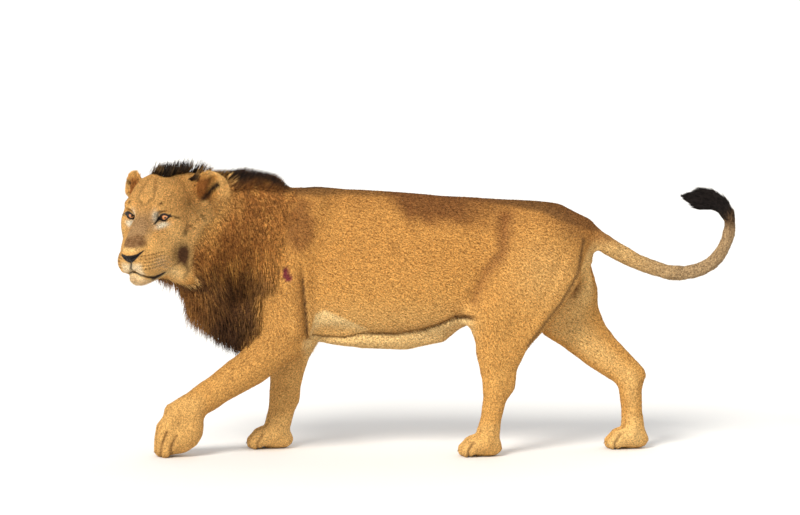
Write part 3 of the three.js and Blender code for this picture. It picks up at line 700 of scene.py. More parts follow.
        # painted shade: a dark line in the crease above the belly's fold
        crease_shade = bell(over - 0.002, 0.005 + 0.004 * ramp(x, 0.16, 0.24))
        lay(UMBER, 0.92 * crease_shade * window(x, -0.36, -0.33, 0.3, 0.26))
        lay(BROWN, 0.3 * bell(over - 0.014, 0.01) * window(x, -0.12, 0.0, 0.3, 0.24))
        inner = ramp(np.abs(y), 0.075, 0.045) * ramp(x, 0.3, 0.4) * ramp(z, 0.72, 0.6)
        lay(CREAM, 0.7 * inner)
        shade = bell(np.hypot(x - 0.672, (z - 0.628) / 1.15), 0.04) * window(y, -0.02, 0.0, 0.1, 0.08)
        lay(BROWN, 0.85 * shade)
        lay(UMBER, 0.35 * shade)
        behind = ramp(x, 0.655, 0.7) * ramp(np.abs(y), 0.06, 0.035) * ramp(z, 0.83, 0.78)
        lay(CREAM, 0.8 * behind)

    def _paint_legs(self, paint: Paint, p: Array) -> None:
        """Paler feet and insides of the legs, and painted shade in the grooves between the toes.

        Args:
            paint: What the colours are laid on.
            p: Places in the lion's frame.
        """
        lay = paint.lay
        x, y, z = p.T
        lay(BROWN, 0.18 * ramp(z, 0.72, 0.6) * ramp(x, -0.34, -0.38))
        lay(GOLD, 0.35 * ramp(z, 0.5, 0.28))
        widest = 0.112 - 0.04 * ramp(x, 0.0, 0.1)
        inside = ramp(np.abs(y), widest, widest - 0.024)
        lay(CREAM, 0.3 * inside * ramp(z, 0.5, 0.4))
        lay(CREAM, 0.26 * self.paws(p))
        lay(BROWN, 0.2 * ramp(z, 0.4, 0.3) * ramp(self.fine.at(p), 0.1, 0.9))
        # painted shade: darker grooves between the toes
        grooves, _ = self.feet.toes(p)
        lay(UMBER, 0.62 * grooves)

    def _paint_tail(self, paint: Paint, p: Array) -> None:
        """A tail that greys towards its black tuft."""
        lay = paint.lay
        _, along, _ = to_line(p, self.bones.tail)
        tail = self.tail(p)
        lay(GREY, tail * (0.15 + 0.8 * ramp(along, 0.08, 0.5)))
        lay(UMBER, tail * 0.22 * ramp(self.fine.at(p), 0.0, 0.8))
        lay(UMBER, tail * 0.8 * ramp(along, 0.72, 0.78))
        lay(BLACK, self.tuft(p))

    def _paint_mane(self, paint: Paint, p: Array, q: Array) -> None:
        """A mane of brown and tawny streaks, black-brown on the crest and the throat.

        Args:
            paint: What the colours are laid on.
            p: Places in the lion's frame.
            q: The same in the head's frame.
        """
        lay = paint.lay
        x, _, z = p.T
        c = q[:, 2]
        tall = p * np.array([1.0, 1.0, 0.16])
        streaks = Ripple(11, 0.05).at(tall)
        fine = Ripple(13, 0.013).at(p * np.array([1.0, 1.0, 0.3]))
        mane = self.mane(p, q)
        towards_back = ramp(x - self.mane_edge(z), -0.15, 0.0)
        lay(BROWN, mane * (0.8 - 0.4 * towards_back + 0.3 * streaks + 0.25 * fine))
        low = ramp(z + 0.03 * streaks, 0.8, 0.66)
        rear = ramp(x, -0.8, -0.7)
        lay(RUST, mane * (0.3 * (1.0 - low) + 0.25 * streaks))
        lay(UMBER, mane * low * (0.32 + 0.55 * rear + 0.25 * streaks + 0.2 * fine))
        dark = bell(x + 0.665, 0.055) * ramp(z, 0.8, 0.68)
        lay(UMBER, mane * dark * (0.55 + 0.3 * fine))
        lay(BLACK, mane * 0.45 * ramp(z, 0.62, 0.5) * rear)
        lay(TAWNY, mane * (1.0 - 0.8 * low) * ramp(streaks + 0.6 * fine, 0.2, 0.8) * 0.8)
        behind = self.behind_face(q)
        ruff = ramp(behind + 0.012 * fine, 0.085, 0.02) * ramp(c, -0.16, -0.1)
        lay(GOLD, mane * ruff * (0.62 + 0.2 * fine) * ramp(c, 0.035, 0.0))
        beard = ramp(behind, 0.05, 0.02) * ramp(c, -0.215, -0.24)
        lay(CREAM, mane * beard * ramp(behind, 0.016, 0.0) * 0.85)
        lay(UMBER, mane * beard * ramp(behind, 0.004, 0.022) * 0.85)
        near = ramp(self.crest(p), 0.0, 0.6) * mane
        high = self.crest(p, 0.62) * mane
        lay(BROWN, near * (0.65 + 0.3 * fine))
        lay(UMBER, near * (0.5 + 0.3 * streaks + 0.3 * fine))
        lay(BLACK, high * (0.93 + 0.1 * fine))

    def _paint_face(self, paint: Paint, p: Array, q: Array) -> None:
        """The face: pale gold, white about the eyes, lips and chin, and dark lines, with painted light
        on the side of the jaw and painted shade under the cheek.

        Args:
            paint: What the colours are laid on.
            p: Places in the lion's frame.
            q: The same in the head's frame.
        """
        lay = paint.lay
        a, b, c = q.T
        wide = np.abs(b)
        fold = np.stack([a, wide, c], 1)
        face = self.face(p, q)
        fine, patchy = self.fine.at(p), self.patchy.at(p)

        def stroke(marking: Marking, strength: float, width: float, *line: tuple) -> None:
            """Lays a colour along a bent line."""
            lay(marking, face * strength * bell(off_line(fold, line) + 0.0012 * fine, width))

        def spot(marking: Marking, strength: float, place: tuple, size: tuple) -> None:
            """Lays a colour in a soft oval."""
            far = np.linalg.norm((fold - np.array(place)) / np.array(size), axis=1)
            lay(marking, face * strength * bell(far + 0.08 * fine, 1.0))

        lay(GOLD, face * 0.6)
        lay(CREAM, face * 0.32)
        lay(BROWN, face * (0.05 + 0.07 * patchy + 0.08 * fine))
        lay(TAWNY, face * 0.3 * ramp(a, -0.04, -0.12) * ramp(c, -0.02, 0.06))
        lay(CREAM, face * 0.3 * ramp(wide, 0.06, 0.11) * ramp(c, 0.03, -0.03))
        lay(CREAM, face * 0.16 * ramp(c, 0.03, 0.07) * ramp(wide, 0.085, 0.055))
        lay(CREAM, face * 0.34 * ramp(wide, 0.06, 0.085) * ramp(c, -0.03, -0.06))
        spot(WHITE, 1.4, (0.018, 0.07, -0.0285), (0.034, 0.019, 0.009))
        spot(WHITE, 1.4, (0.018, 0.045, 0.006), (0.026, 0.0105, 0.02))
        spot(CREAM, 0.5, (0.01, 0.066, 0.028), (0.02, 0.024, 0.009))
        stroke(UMBER, 1.0, 0.005, (-0.006, 0.071, 0.062), (0.002, 0.057, 0.034))
        stroke(UMBER, 0.95, 0.0052, *self.creases.brow)
        stroke(BROWN, 0.55, 0.0075, (-0.05, 0.026, 0.098), (-0.095, 0.012, 0.126))
        rough = 0.006 * fine + 0.003 * patchy
        ahead, aside = a + rough, wide + rough
        bridge = window(ahead, 0.096, 0.118, 0.172, 0.16) * ramp(aside, 0.058, 0.036)
        bridge = bridge * ramp(c, -0.078, -0.066)
        band = ramp(a, 0.0, 0.06) * ramp(aside, 0.056, 0.026) * ramp(c, -0.08, -0.06)
        lay(GREY, face * 0.8 * band)
        lay(BROWN, face * 0.3 * band)
        lay(BROWN, face * bridge * (0.5 + 0.16 * fine))
        lay(UMBER, face * bridge * (0.42 + 0.2 * fine))
        spot(CREAM, 0.95, (0.168, 0.012, -0.073), (0.03, 0.032, 0.0068))
        front = ramp(a, 0.12, 0.145) * ramp(wide, 0.05, 0.034)
        lay(CREAM, face * 0.35 * ramp(a, 0.06, 0.1) * ramp(c, -0.12, -0.145))
        lay(CREAM, face * 0.9 * front * ramp(c, -0.112, -0.132))
        lay(WHITE, face * 0.5 * front * ramp(c, -0.116, -0.14))
        under = self.lip(q) - c
        lay(CREAM, face * 0.8 * ramp(a, 0.02, 0.08) * ramp(under, 0.002, 0.012))
        chin = ramp(a, 0.05, 0.1) * ramp(under, 0.006, 0.018) * ramp(c, -0.26, -0.24)
        lay(WHITE, face * 0.32 * chin)
        # painted light: cream and pale on the side of the jaw, which faces away from the lamps
        spot(CREAM, 1.35, (0.022, 0.1, -0.216), (0.05, 0.044, 0.036))
        spot(PALE, 0.9, (0.03, 0.098, -0.222), (0.04, 0.034, 0.026))
        spot(CREAM, 0.6, (-0.01, 0.11, -0.08), (0.05, 0.04, 0.04))
        stroke(BROWN, 0.6, 0.0036, (0.115, 0.048, -0.136), (0.086, 0.07, -0.152),
               (0.052, 0.086, -0.18))
        # painted shade: a dark patch under the cheek between the jaw and the mane, and a dark line round
        # the jaw's back edge
        spot(UMBER, 1.5, (0.002, 0.134, -0.15), (0.048, 0.025, 0.042))
        stroke(UMBER, 0.7, 0.008, (0.0, 0.14, -0.17), (0.008, 0.15, -0.21),
               (0.006, 0.13, -0.245))
        stroke(UMBER, 0.8, 0.005, *self.creases.mouth)
        below_ear = ((-0.14, 0.118, 0.0), (-0.122, 0.156, -0.031), (-0.111, 0.181, -0.057))
        lay(UMBER, 0.9 * bell(off_line(fold, below_ear), 0.0058))
        stroke(BROWN, 0.45, 0.01, (-0.15, 0.128, 0.012), (-0.09, 0.16, -0.05))
        spot(UMBER, 0.85, (-0.037, 0.134, -0.075), (0.018, 0.006, 0.012))
        spot(BROWN, 0.8, (-0.052, 0.14, -0.06), (0.02, 0.01, 0.01))
        stroke(UMBER, 0.8, 0.0042, (-0.014, 0.097, -0.002), (-0.038, 0.124, -0.019))
        lay(UMBER, face * ramp(c, -0.262, -0.285) * ramp(a, 0.075, 0.035) * 0.85)
        rows, dots = self.spots(q)
        lay(BROWN, face * 0.42 * rows)
        lay(UMBER, face * 0.95 * dots)
        crown = self.crest(p, 1.2) * ramp(self.mane(p, q), 0.01, 0.2) * ramp(p[:, 0], -0.72, -0.78)
        lay(BLACK, crown * (0.86 + 0.12 * fine))
        lay(BLACK, self.bare(q))

    def _paint_ears(self, paint: Paint, q: Array) -> None:
        """Rusty fronts, painted shade in the hollow, pale rims and black backs.

        Args:
            paint: What the colours are laid on.
            q: Places in the head's frame.
        """
        lay = paint.lay
        for side in Side:
            share, e = self.ear_at(q, side)
            deep, across, high = e.T
            lay(GOLD, share * 0.7)
            front = share * ramp(deep, -0.35, 0.15) * ramp(across, 0.3, -0.2) * ramp(high, 0.7, 0.35)
            lay(RUST, front * 0.95)
            lay(BROWN, front * 0.45)
            lay(BLACK, share * ramp(deep, -0.2, -0.6) * ramp(across, -0.5, 0.0) * 0.55)
            rim = ramp(np.hypot(across, high), 0.7, 0.84) * ramp(across, -0.55, -0.15)
            pale = np.maximum(rim, ramp(across, 0.25, 0.55))
            lay(CREAM, share * pale * ramp(deep, -0.55, -0.15) * 0.6)
        # painted shade in the hollow of each ear
        lay(UMBER, 0.9 * self.ear.dark(q, 0.011))
        lay(BLACK, 1.1 * self.ear.dark(q, 0.008))

    # ---- bare places of the face

    def lip(self, q: Array) -> Array:
        """Height of the line where the lips meet, highest below the nose."""
        a = q[:, 0]
        line = np.interp(
            a,
            [0.0, 0.036, 0.056, 0.085, 0.117, 0.142, 0.162, 0.18],
            [-0.214, -0.207, -0.21, -0.211, -0.199, -0.185, -0.179, -0.176],
        )
        return line + 0.015 * bell(self.from_middle(q), 0.026) * ramp(a, 0.11, 0.135)

    def from_middle(self, q: Array) -> Array:
        """Place across the muzzle from its middle line, which leans a little below the nose."""
        return q[:, 1] + 0.01 * ramp(q[:, 2], -0.12, -0.16)

    def leather(self, q: Array) -> Array:
        """The bare leather of the nose, wide above and narrow at the lip."""
        a, b, c = q.T
        t = np.clip((c + 0.121) / 0.036, 0.0, 1.0)
        half = 0.008 + 0.039 * t**0.85
        top = -0.088 + 0.006 * np.minimum(np.abs(b) / 0.042, 1.0) ** 1.5
        inside = ramp(half - np.abs(b), -0.001, 0.002) * ramp(top - c, -0.001, 0.002)
        return inside * ramp(c, -0.125, -0.119) * ramp(a, 0.12, 0.14)

    def philtrum(self, q: Array) -> Array:
        """The dark groove from the nose to the lip."""
        a, _, c = q.T
        above_lip = ramp(c - self.lip(q), -0.004, 0.002)
        groove = bell(self.from_middle(q), 0.0046) * above_lip
        return groove * ramp(c, -0.112, -0.118) * ramp(a, 0.12, 0.15)

    def mouth(self, q: Array) -> Array:
        """The line where the lips meet, thickest towards the corners."""
        a, b, c = q.T
        ends = ramp(a, 0.028, 0.042) * ramp(np.abs(b), 0.11, 0.1)
        thick = 0.0042 + 0.0086 * window(a, 0.034, 0.054, 0.112, 0.088)
        return bell(c - self.lip(q) + 0.4 * thick, thick) * ends

    def spots(self, q: Array, apart: float = 0.0125, step: float = 0.012) -> tuple[Array, Array]:
        """The rows the whiskers grow in and the small dark spots along them.

        Args:
            q: Places in the head's frame.
            apart: From one row to the next.
            step: From one spot of a row to the next.

        Returns:
            The shares of the rows and of the spots.
        """
        a, b, c = q.T
        row = (c + 0.104 + 0.16 * (0.13 - a)) / apart
        number = np.round(row)
        column = (a - 0.075) / step + 0.5 * number
        here = (number <= 0) & (number >= -4) & (c > self.lip(q) + 0.008)
        here = here * window(a, 0.055, 0.075, 0.172, 0.16) * ramp(np.abs(b), 0.022, 0.032)
        off = (row - number) * apart
        spot = np.hypot(off, (column - np.round(column)) * step)
        return bell(off, 0.003) * here, bell(spot, 0.0028) * here

    def bare(self, q: Array) -> Array:
        """All black bare skin of the face: nose, lips, lids and the corners of the eyes.

        Args:
            q: Places in the head's frame.

        Returns:
            Its shares, from 0 to 1.
        """
        a, b, c = q.T
        over = np.abs(b) - self.eye.across
        near = ramp(a, -0.06, -0.04)
        lids = ramp(self.eye.open_by(over, c), -0.0084, -0.0054)
        flat = np.stack([over, c], 1)
        tear, along, _ = to_line(flat, ((-0.016, -0.007), (-0.021, -0.012), (-0.0235, -0.018)))
        outer = off_line(flat, ((0.018, 0.002), (0.028, -0.002)))
        corners = bell(tear, 0.0056 - 0.002 * along) + bell(outer, 0.0018)
        muzzle = self.leather(q) + self.philtrum(q) + self.mouth(q)
        return np.clip(muzzle + (lids + corners) * near, 0.0, 1.0)


# ---- materials


class Socket:
    """A node's output with arithmetic: an expression on values adds its Math nodes."""

    def __init__(self, shader: "Shader", link: bpy.types.NodeSocket) -> None:
        """Wraps a socket of a shader's tree."""
        self.shader = shader
        self.link = link

    def _math(self, operation: str, first: "Socket | float", second: "Socket | float") -> "Socket":
        """Adds one Math node."""
        return self.shader.node("ShaderNodeMath", {"operation": operation}, {0: first, 1: second})

    def __add__(self, other: "Socket | float") -> "Socket":
        """self + other"""
        return self._math("ADD", self, other)

    __radd__ = __add__

    def __sub__(self, other: "Socket | float") -> "Socket":
        """self - other"""
        return self._math("SUBTRACT", self, other)

    def __rsub__(self, other: "Socket | float") -> "Socket":
        """other - self"""
        return self._math("SUBTRACT", other, self)

    def __mul__(self, other: "Socket | float") -> "Socket":
        """self * other"""
        return self._math("MULTIPLY", self, other)

    __rmul__ = __mul__

    def clamped(self, low: float, high: float) -> "Socket":
        """self kept between two values"""
        return self.shader.node("ShaderNodeClamp", None, {0: self, 1: low, 2: high})


class Shader:
    """One material and its nodes."""

    def __init__(self, name: str) -> None:
        """Makes the material with an empty tree.

        Args:
            name: The material's name.
        """
        self.material = bpy.data.materials.new(name)
        self.material.use_nodes = True
        self.tree = self.material.node_tree
        self.tree.nodes.clear()

    def node(
        self, kind: str, settings: dict | None = None, inputs: dict | None = None,
        output: int | str = 0,
    ) -> Socket:
        """Adds a node.

        Args:
            kind: The node's type.
            settings: Its properties, or a ramp's stops under "stops".
            inputs: Values or links for its sockets, by name or number.
            output: Which output is handed back.

        Returns:
            That output.
        """
        node = self.tree.nodes.new(kind)
        for key, value in (settings or {}).items():
            if key == "stops":
                for stop in value[len(node.color_ramp.elements):]:
                    node.color_ramp.elements.new(stop[0])
                for element, (place, colour) in zip(node.color_ramp.elements, value):
                    element.position = place
                    element.color = (*colour, 1.0)
            else:
                setattr(node, key, value)
        for key, value in (inputs or {}).items():
            socket = node.inputs[key]
            if isinstance(value, Socket):
                self.tree.links.new(value.link, socket)
            elif hasattr(socket.default_value, "__len__") and len(socket.default_value) == 4:
                socket.default_value = (*value, 1.0)[:4]
            else:
                socket.default_value = value
        return Socket(self, node.outputs[output]) if len(node.outputs) else None

    def attribute(self, name: str, output: str = "Fac") -> Socket:
        """Reads one of the mesh's attributes."""
        return self.node("ShaderNodeAttribute", {"attribute_name": name}, None, output)

    def noise(self, scale: float, detail: float = 2.0, stretch: tuple = (1.0, 1.0, 1.0)) -> Socket:
        """Noise on the object's coordinates, from 0 to 1."""
        place = self.node("ShaderNodeTexCoord", None, None, "Object")
        if stretch != (1.0, 1.0, 1.0):
            place = self.node("ShaderNodeMapping", None, {"Vector": place, "Scale": stretch})
        inputs = {"Vector": place, "Scale": scale, "Detail": detail}
        return self.node("ShaderNodeTexNoise", None, inputs, "Fac")

    def tinted(self, colour: Socket, factor: Socket) -> Socket:
        """A colour made lighter or darker by a factor."""
        return self.node("ShaderNodeVectorMath", {"operation": "SCALE"}, {0: colour, "Scale": factor})

    def blend(self, share: Socket, first: Socket | tuple, second: Socket | tuple) -> Socket:
        """The first colour where share is 0, the second where it is 1."""
        settings = {"data_type": "RGBA", "clamp_factor": True}
        return self.node("ShaderNodeMix", settings, {0: share, 6: first, 7: second}, 2)

    def bump(self, height: Socket, strength: float, distance: float) -> Socket:
        """A bump of the surface's normal."""
        inputs = {"Height": height, "Strength": strength, "Distance": distance}
        return self.node("ShaderNodeBump", None, inputs)

    def surface(self, **inputs: "Socket | float | tuple") -> bpy.types.Material:
        """Ends the tree with a principled surface.

        Args:
            inputs: The surface's sockets, with _ for a space.

        Returns:
            The finished material.
        """
        named = {key.replace("_", " "): value for key, value in inputs.items()}
        surface = self.node("ShaderNodeBsdfPrincipled", None, named)
        self.node("ShaderNodeOutputMaterial", None, {"Surface": surface})
        return self.material


@dataclass(frozen=True)
class Hair:
    """The looks of one kind of hair.

    roughness is how dull it is, root and tip its lightness at either end, and spread how much the
    locks' tones differ. mottle is how much the tone differs from place to place, partly as the coat's
    own speckle and partly as painted glints of hair tips, grain how fine those differences are, and
    dark how dark the darkest hairs are.
    """

    name: str
    roughness: float
    root: float
    tip: float
    spread: float
    mottle: float
    grain: float
    dark: float


class Finishes:
    """The lion's materials."""

    def __init__(self) -> None:
        """Makes each finish once."""
        self.skin = self._skin()
        self.fur = self._hair(Hair("short_fur", 0.82, 0.58, 0.82, 0.28, 2.3, 175.0, 0.36))
        self.face = self._hair(Hair("face_fur", 0.82, 0.76, 1.06, 0.34, 2.6, 140.0, 0.36))
        self.mane = self._hair(Hair("mane_hair", 0.66, 0.62, 1.14, 0.55, 2.6, 90.0, 0.22))
        self.bristle = self._bristle()
        self.eye = self._eye()
        self.rim = self._rim()
        self.horn = self._horn()

    def _skin(self) -> bpy.types.Material:
        """Skin under the fur, with the leather of the nose and lips where it is bare."""
        s = Shader("skin")
        bare = s.attribute("bare")
        speckle = s.noise(420.0, 3.0) - 0.5
        flecks = s.noise(175.0, 2.0) - 0.5
        lightness = (0.76 + 0.8 * speckle + 1.6 * flecks).clamped(0.3, 1.3)
        colour = s.tinted(s.attribute("marking", "Color"), lightness)
        grain = s.node("ShaderNodeTexVoronoi", None, {
            "Vector": s.node("ShaderNodeTexCoord", None, None, "Object"), "Scale": 520.0}, "Distance")
        height = 0.8 * s.noise(520.0, 3.0) * (1.0 - bare) + 0.9 * grain * bare
        return s.surface(
            Base_Color=colour,
            Roughness=0.82 - 0.42 * bare,
            Normal=s.bump(height, 0.45, 0.0009),
            Specular_IOR_Level=0.2,
        )

    def _hair(self, hair: Hair) -> bpy.types.Material:
        """Hair in locks: darker at the roots, each lock with its own tone.

        Args:
            hair: The kind of hair.

        Returns:
            The material.
        """
        s = Shader(hair.name)
        lightness = hair.root + (hair.tip - hair.root) * s.attribute("tip")
        lightness = lightness + hair.spread * s.attribute("tone")
        # the flecks are partly the coat's own speckle and partly painted glints of hair tips
        flecks = s.noise(hair.grain, 2.0) + s.noise(2.2 * hair.grain, 1.0) - 1.0
        lightness = lightness + hair.mottle * flecks
        colour = s.tinted(s.attribute("marking", "Color"), lightness.clamped(1.0, 1.45))
        darkest = (hair.dark, 0.8 * hair.dark, 0.68 * hair.dark)
        shade = s.blend(lightness, darkest, (1.0, 1.0, 1.0))
        return s.surface(
            Base_Color=s.node("ShaderNodeVectorMath", {"operation": "MULTIPLY"}, {0: colour, 1: shade}),
            Roughness=hair.roughness,
            Specular_IOR_Level=0.14,
            Normal=s.bump(s.noise(900.0, 1.0), 0.25, 0.0006),
        )

    def _bristle(self) -> bpy.types.Material:
        """Whiskers, whitish and a little glossy."""
        s = Shader("whisker")
        colour = s.blend(s.noise(60.0, 1.0), (0.42, 0.36, 0.28), (0.66, 0.6, 0.5))
        return s.surface(Base_Color=colour, Roughness=0.42)

    def _eye(self) -> bpy.types.Material:
        """An orange-brown iris about a small pupil, wet all over."""
        s = Shader("eye")
        polar = s.attribute("polar")
        streak = s.noise(900.0, 3.0)
        iris = s.node("ShaderNodeValToRGB", {"stops": (
            (0.0, (0.004, 0.003, 0.003)), (0.15, (0.004, 0.003, 0.003)), (0.185, (0.34, 0.13, 0.04)),
            (0.3, (0.66, 0.28, 0.1)), (0.5, (0.58, 0.22, 0.075)), (0.6, (0.2, 0.065, 0.02)),
            (0.7, (0.012, 0.008, 0.006)), (0.95, (0.016, 0.01, 0.008)))},
            {"Fac": polar + 0.045 * (streak - 0.5)}, "Color")
        return s.surface(
            Base_Color=iris,
            Roughness=0.3,
            Specular_IOR_Level=0.25,
            Coat_Weight=(3.2 - 4.0 * polar).clamped(0.06, 0.8),
            Coat_Roughness=0.03,
            Normal=s.bump(streak, 0.05, 0.0003),
        )

    def _rim(self) -> bpy.types.Material:
        """Black moist lids."""
        s = Shader("eye_lid")
        colour = s.blend(s.noise(300.0, 2.0), (0.01, 0.008, 0.007), (0.035, 0.024, 0.02))
        grain = s.bump(s.noise(900.0, 2.0), 0.3, 0.0004)
        return s.surface(Base_Color=colour, Roughness=0.55, Specular_IOR_Level=0.2, Normal=grain)

    def _horn(self) -> bpy.types.Material:
        """The horn of the claws, streaked along their length."""
        s = Shader("claw_horn")
        streak = s.noise(120.0, 3.0, (0.25, 1.0, 1.0))
        colour = s.blend(streak, (0.06, 0.04, 0.026), (0.34, 0.26, 0.17))
        return s.surface(Base_Color=colour, Roughness=0.36, Normal=s.bump(streak, 0.2, 0.0005))


# ---- meshes


def clear_selection() -> None:
    """Deselects everything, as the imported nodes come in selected."""
    bpy.ops.object.select_all(action="DESELECT")


def make_active(piece: bpy.types.Object) -> None:
    """Selects one object alone and makes it active."""
    clear_selection()
    piece.select_set(True)
    bpy.context.view_layer.objects.active = piece


def apply_modifier(piece: bpy.types.Object, kind: str, **settings: object) -> None:
    """Adds a modifier and applies it.

    Args:
        piece: The object to change.
        kind: The modifier's type.
        settings: Its properties.
    """
    modifier = piece.modifiers.new(kind.lower(), kind)
    for key, value in settings.items():
        setattr(modifier, key, value)
    make_active(piece)
    bpy.ops.object.modifier_apply(modifier=modifier.name)


def face_outwards(piece: bpy.types.Object) -> None:
    """Turns all faces of a closed piece outwards."""
    make_active(piece)
    bpy.ops.object.mode_set(mode="EDIT")
    bpy.ops.mesh.select_all(action="SELECT")
    bpy.ops.mesh.normals_make_consistent(inside=False)
    bpy.ops.object.mode_set(mode="OBJECT")


def linked(name: str, data: bpy.types.ID) -> bpy.types.Object:
    """Puts an object with the given data in the scene."""
    thing = bpy.data.objects.new(name, data)
    bpy.context.scene.collection.objects.link(thing)
    return thing


def read(
    items: bpy.types.bpy_prop_collection, key: str, columns: int, kind: type = np.float32
) -> Array:
    """Reads one property of all points, edges or faces of a mesh.

    Args:
        items: The points, edges or faces.
        key: The property's name.
        columns: How many numbers each item has.
        kind: The type of the numbers.

    Returns:
        The numbers, one item a row.
    """
    values = np.empty(len(items) * columns, kind)
    items.foreach_get(key, values)
    return values.reshape(-1, columns)


def places_of(mesh: bpy.types.Mesh) -> Array:
    """A mesh's points, one a row."""
    return read(mesh.vertices, "co", 3).astype(float)


def normals_of(mesh: bpy.types.Mesh) -> Array:
    """A mesh's point normals, one a row."""
    return read(mesh.vertex_normals, "vector", 3).astype(float)


def set_places(mesh: bpy.types.Mesh, places: Array) -> None:
    """Moves a mesh's points."""
    mesh.vertices.foreach_set("co", places.astype(np.float32).ravel())
    mesh.update()


def set_attribute(mesh: bpy.types.Mesh, name: str, values: Array) -> None:
    """Stores a number or a colour for each point."""
    if values.ndim == 1:
        mesh.attributes.new(name, "FLOAT", "POINT").data.foreach_set("value", values.astype(np.float32))
        return
    full = np.concatenate([values, np.ones((len(values), 1))], axis=1).astype(np.float32)
    mesh.attributes.new(name, "FLOAT_COLOR", "POINT").data.foreach_set("color", full.ravel())


def mesh_from(name: str, places: Array, faces: Array, patch: Array) -> bpy.types.Object:
    """Makes an object of triangles.

    Args:
        name: Its name.
        places: Points, one a row.
        faces: Three point numbers a row, counted to face outwards.
        patch: Each point's place on the map for baking.

    Returns:
        The object, linked to the scene.
    """
    mesh = bpy.data.meshes.new(name)
    mesh.vertices.add(len(places))
    mesh.vertices.foreach_set("co", places.astype(np.float32).ravel())
    mesh.loops.add(faces.size)
    mesh.loops.foreach_set("vertex_index", faces.astype(np.int32).ravel())
    mesh.polygons.add(len(faces))
    mesh.polygons.foreach_set("loop_start", np.arange(0, faces.size, 3, dtype=np.int32))
    mesh.polygons.foreach_set("use_smooth", np.ones(len(faces), bool))
    layer = mesh.uv_layers.new(name=BAKE_MAP)
    layer.data.foreach_set("uv", patch[faces.ravel()].astype(np.float32).ravel())
    mesh.update(calc_edges=True)
    return linked(name, mesh)


class Relaxer:
    """Evens values over a mesh by its edges."""

    def __init__(self, mesh: bpy.types.Mesh) -> None:
        """Reads the mesh's edges."""
        self.a, self.b = read(mesh.edges, "vertices", 2, np.int32).T
        self.count = len(mesh.vertices)
        degree = np.bincount(self.a, minlength=self.count) + np.bincount(self.b, minlength=self.count)
        self.degree = np.maximum(degree, 1).astype(float)

    def average(self, values: Array) -> Array:
        """Each point's neighbours' average."""
        flat = values.reshape(self.count, -1)
        sums = []
        for column in flat.T:
            ahead = np.bincount(self.a, column[self.b], self.count)
            sums.append(ahead + np.bincount(self.b, column[self.a], self.count))
        return (np.stack(sums, axis=1) / self.degree[:, None]).reshape(values.shape)

    def relaxed(self, values: Array, rounds: Array | int) -> Array:
        """Values drawn halfway towards their neighbours' average, again and again.

        Args:
            values: One or more numbers for each point.
            rounds: How many times, for all points or for each.

        Returns:
            The evened values.
        """
        rounds = np.broadcast_to(np.asarray(rounds, float), (self.count,))
        for n in range(int(math.ceil(rounds.max()))):
            weight = 0.5 * np.clip(rounds - n, 0.0, 1.0)
            if values.ndim > 1:
                weight = weight[:, None]
            values = values + weight * (self.average(values) - values)
        return values


# ---- the skin


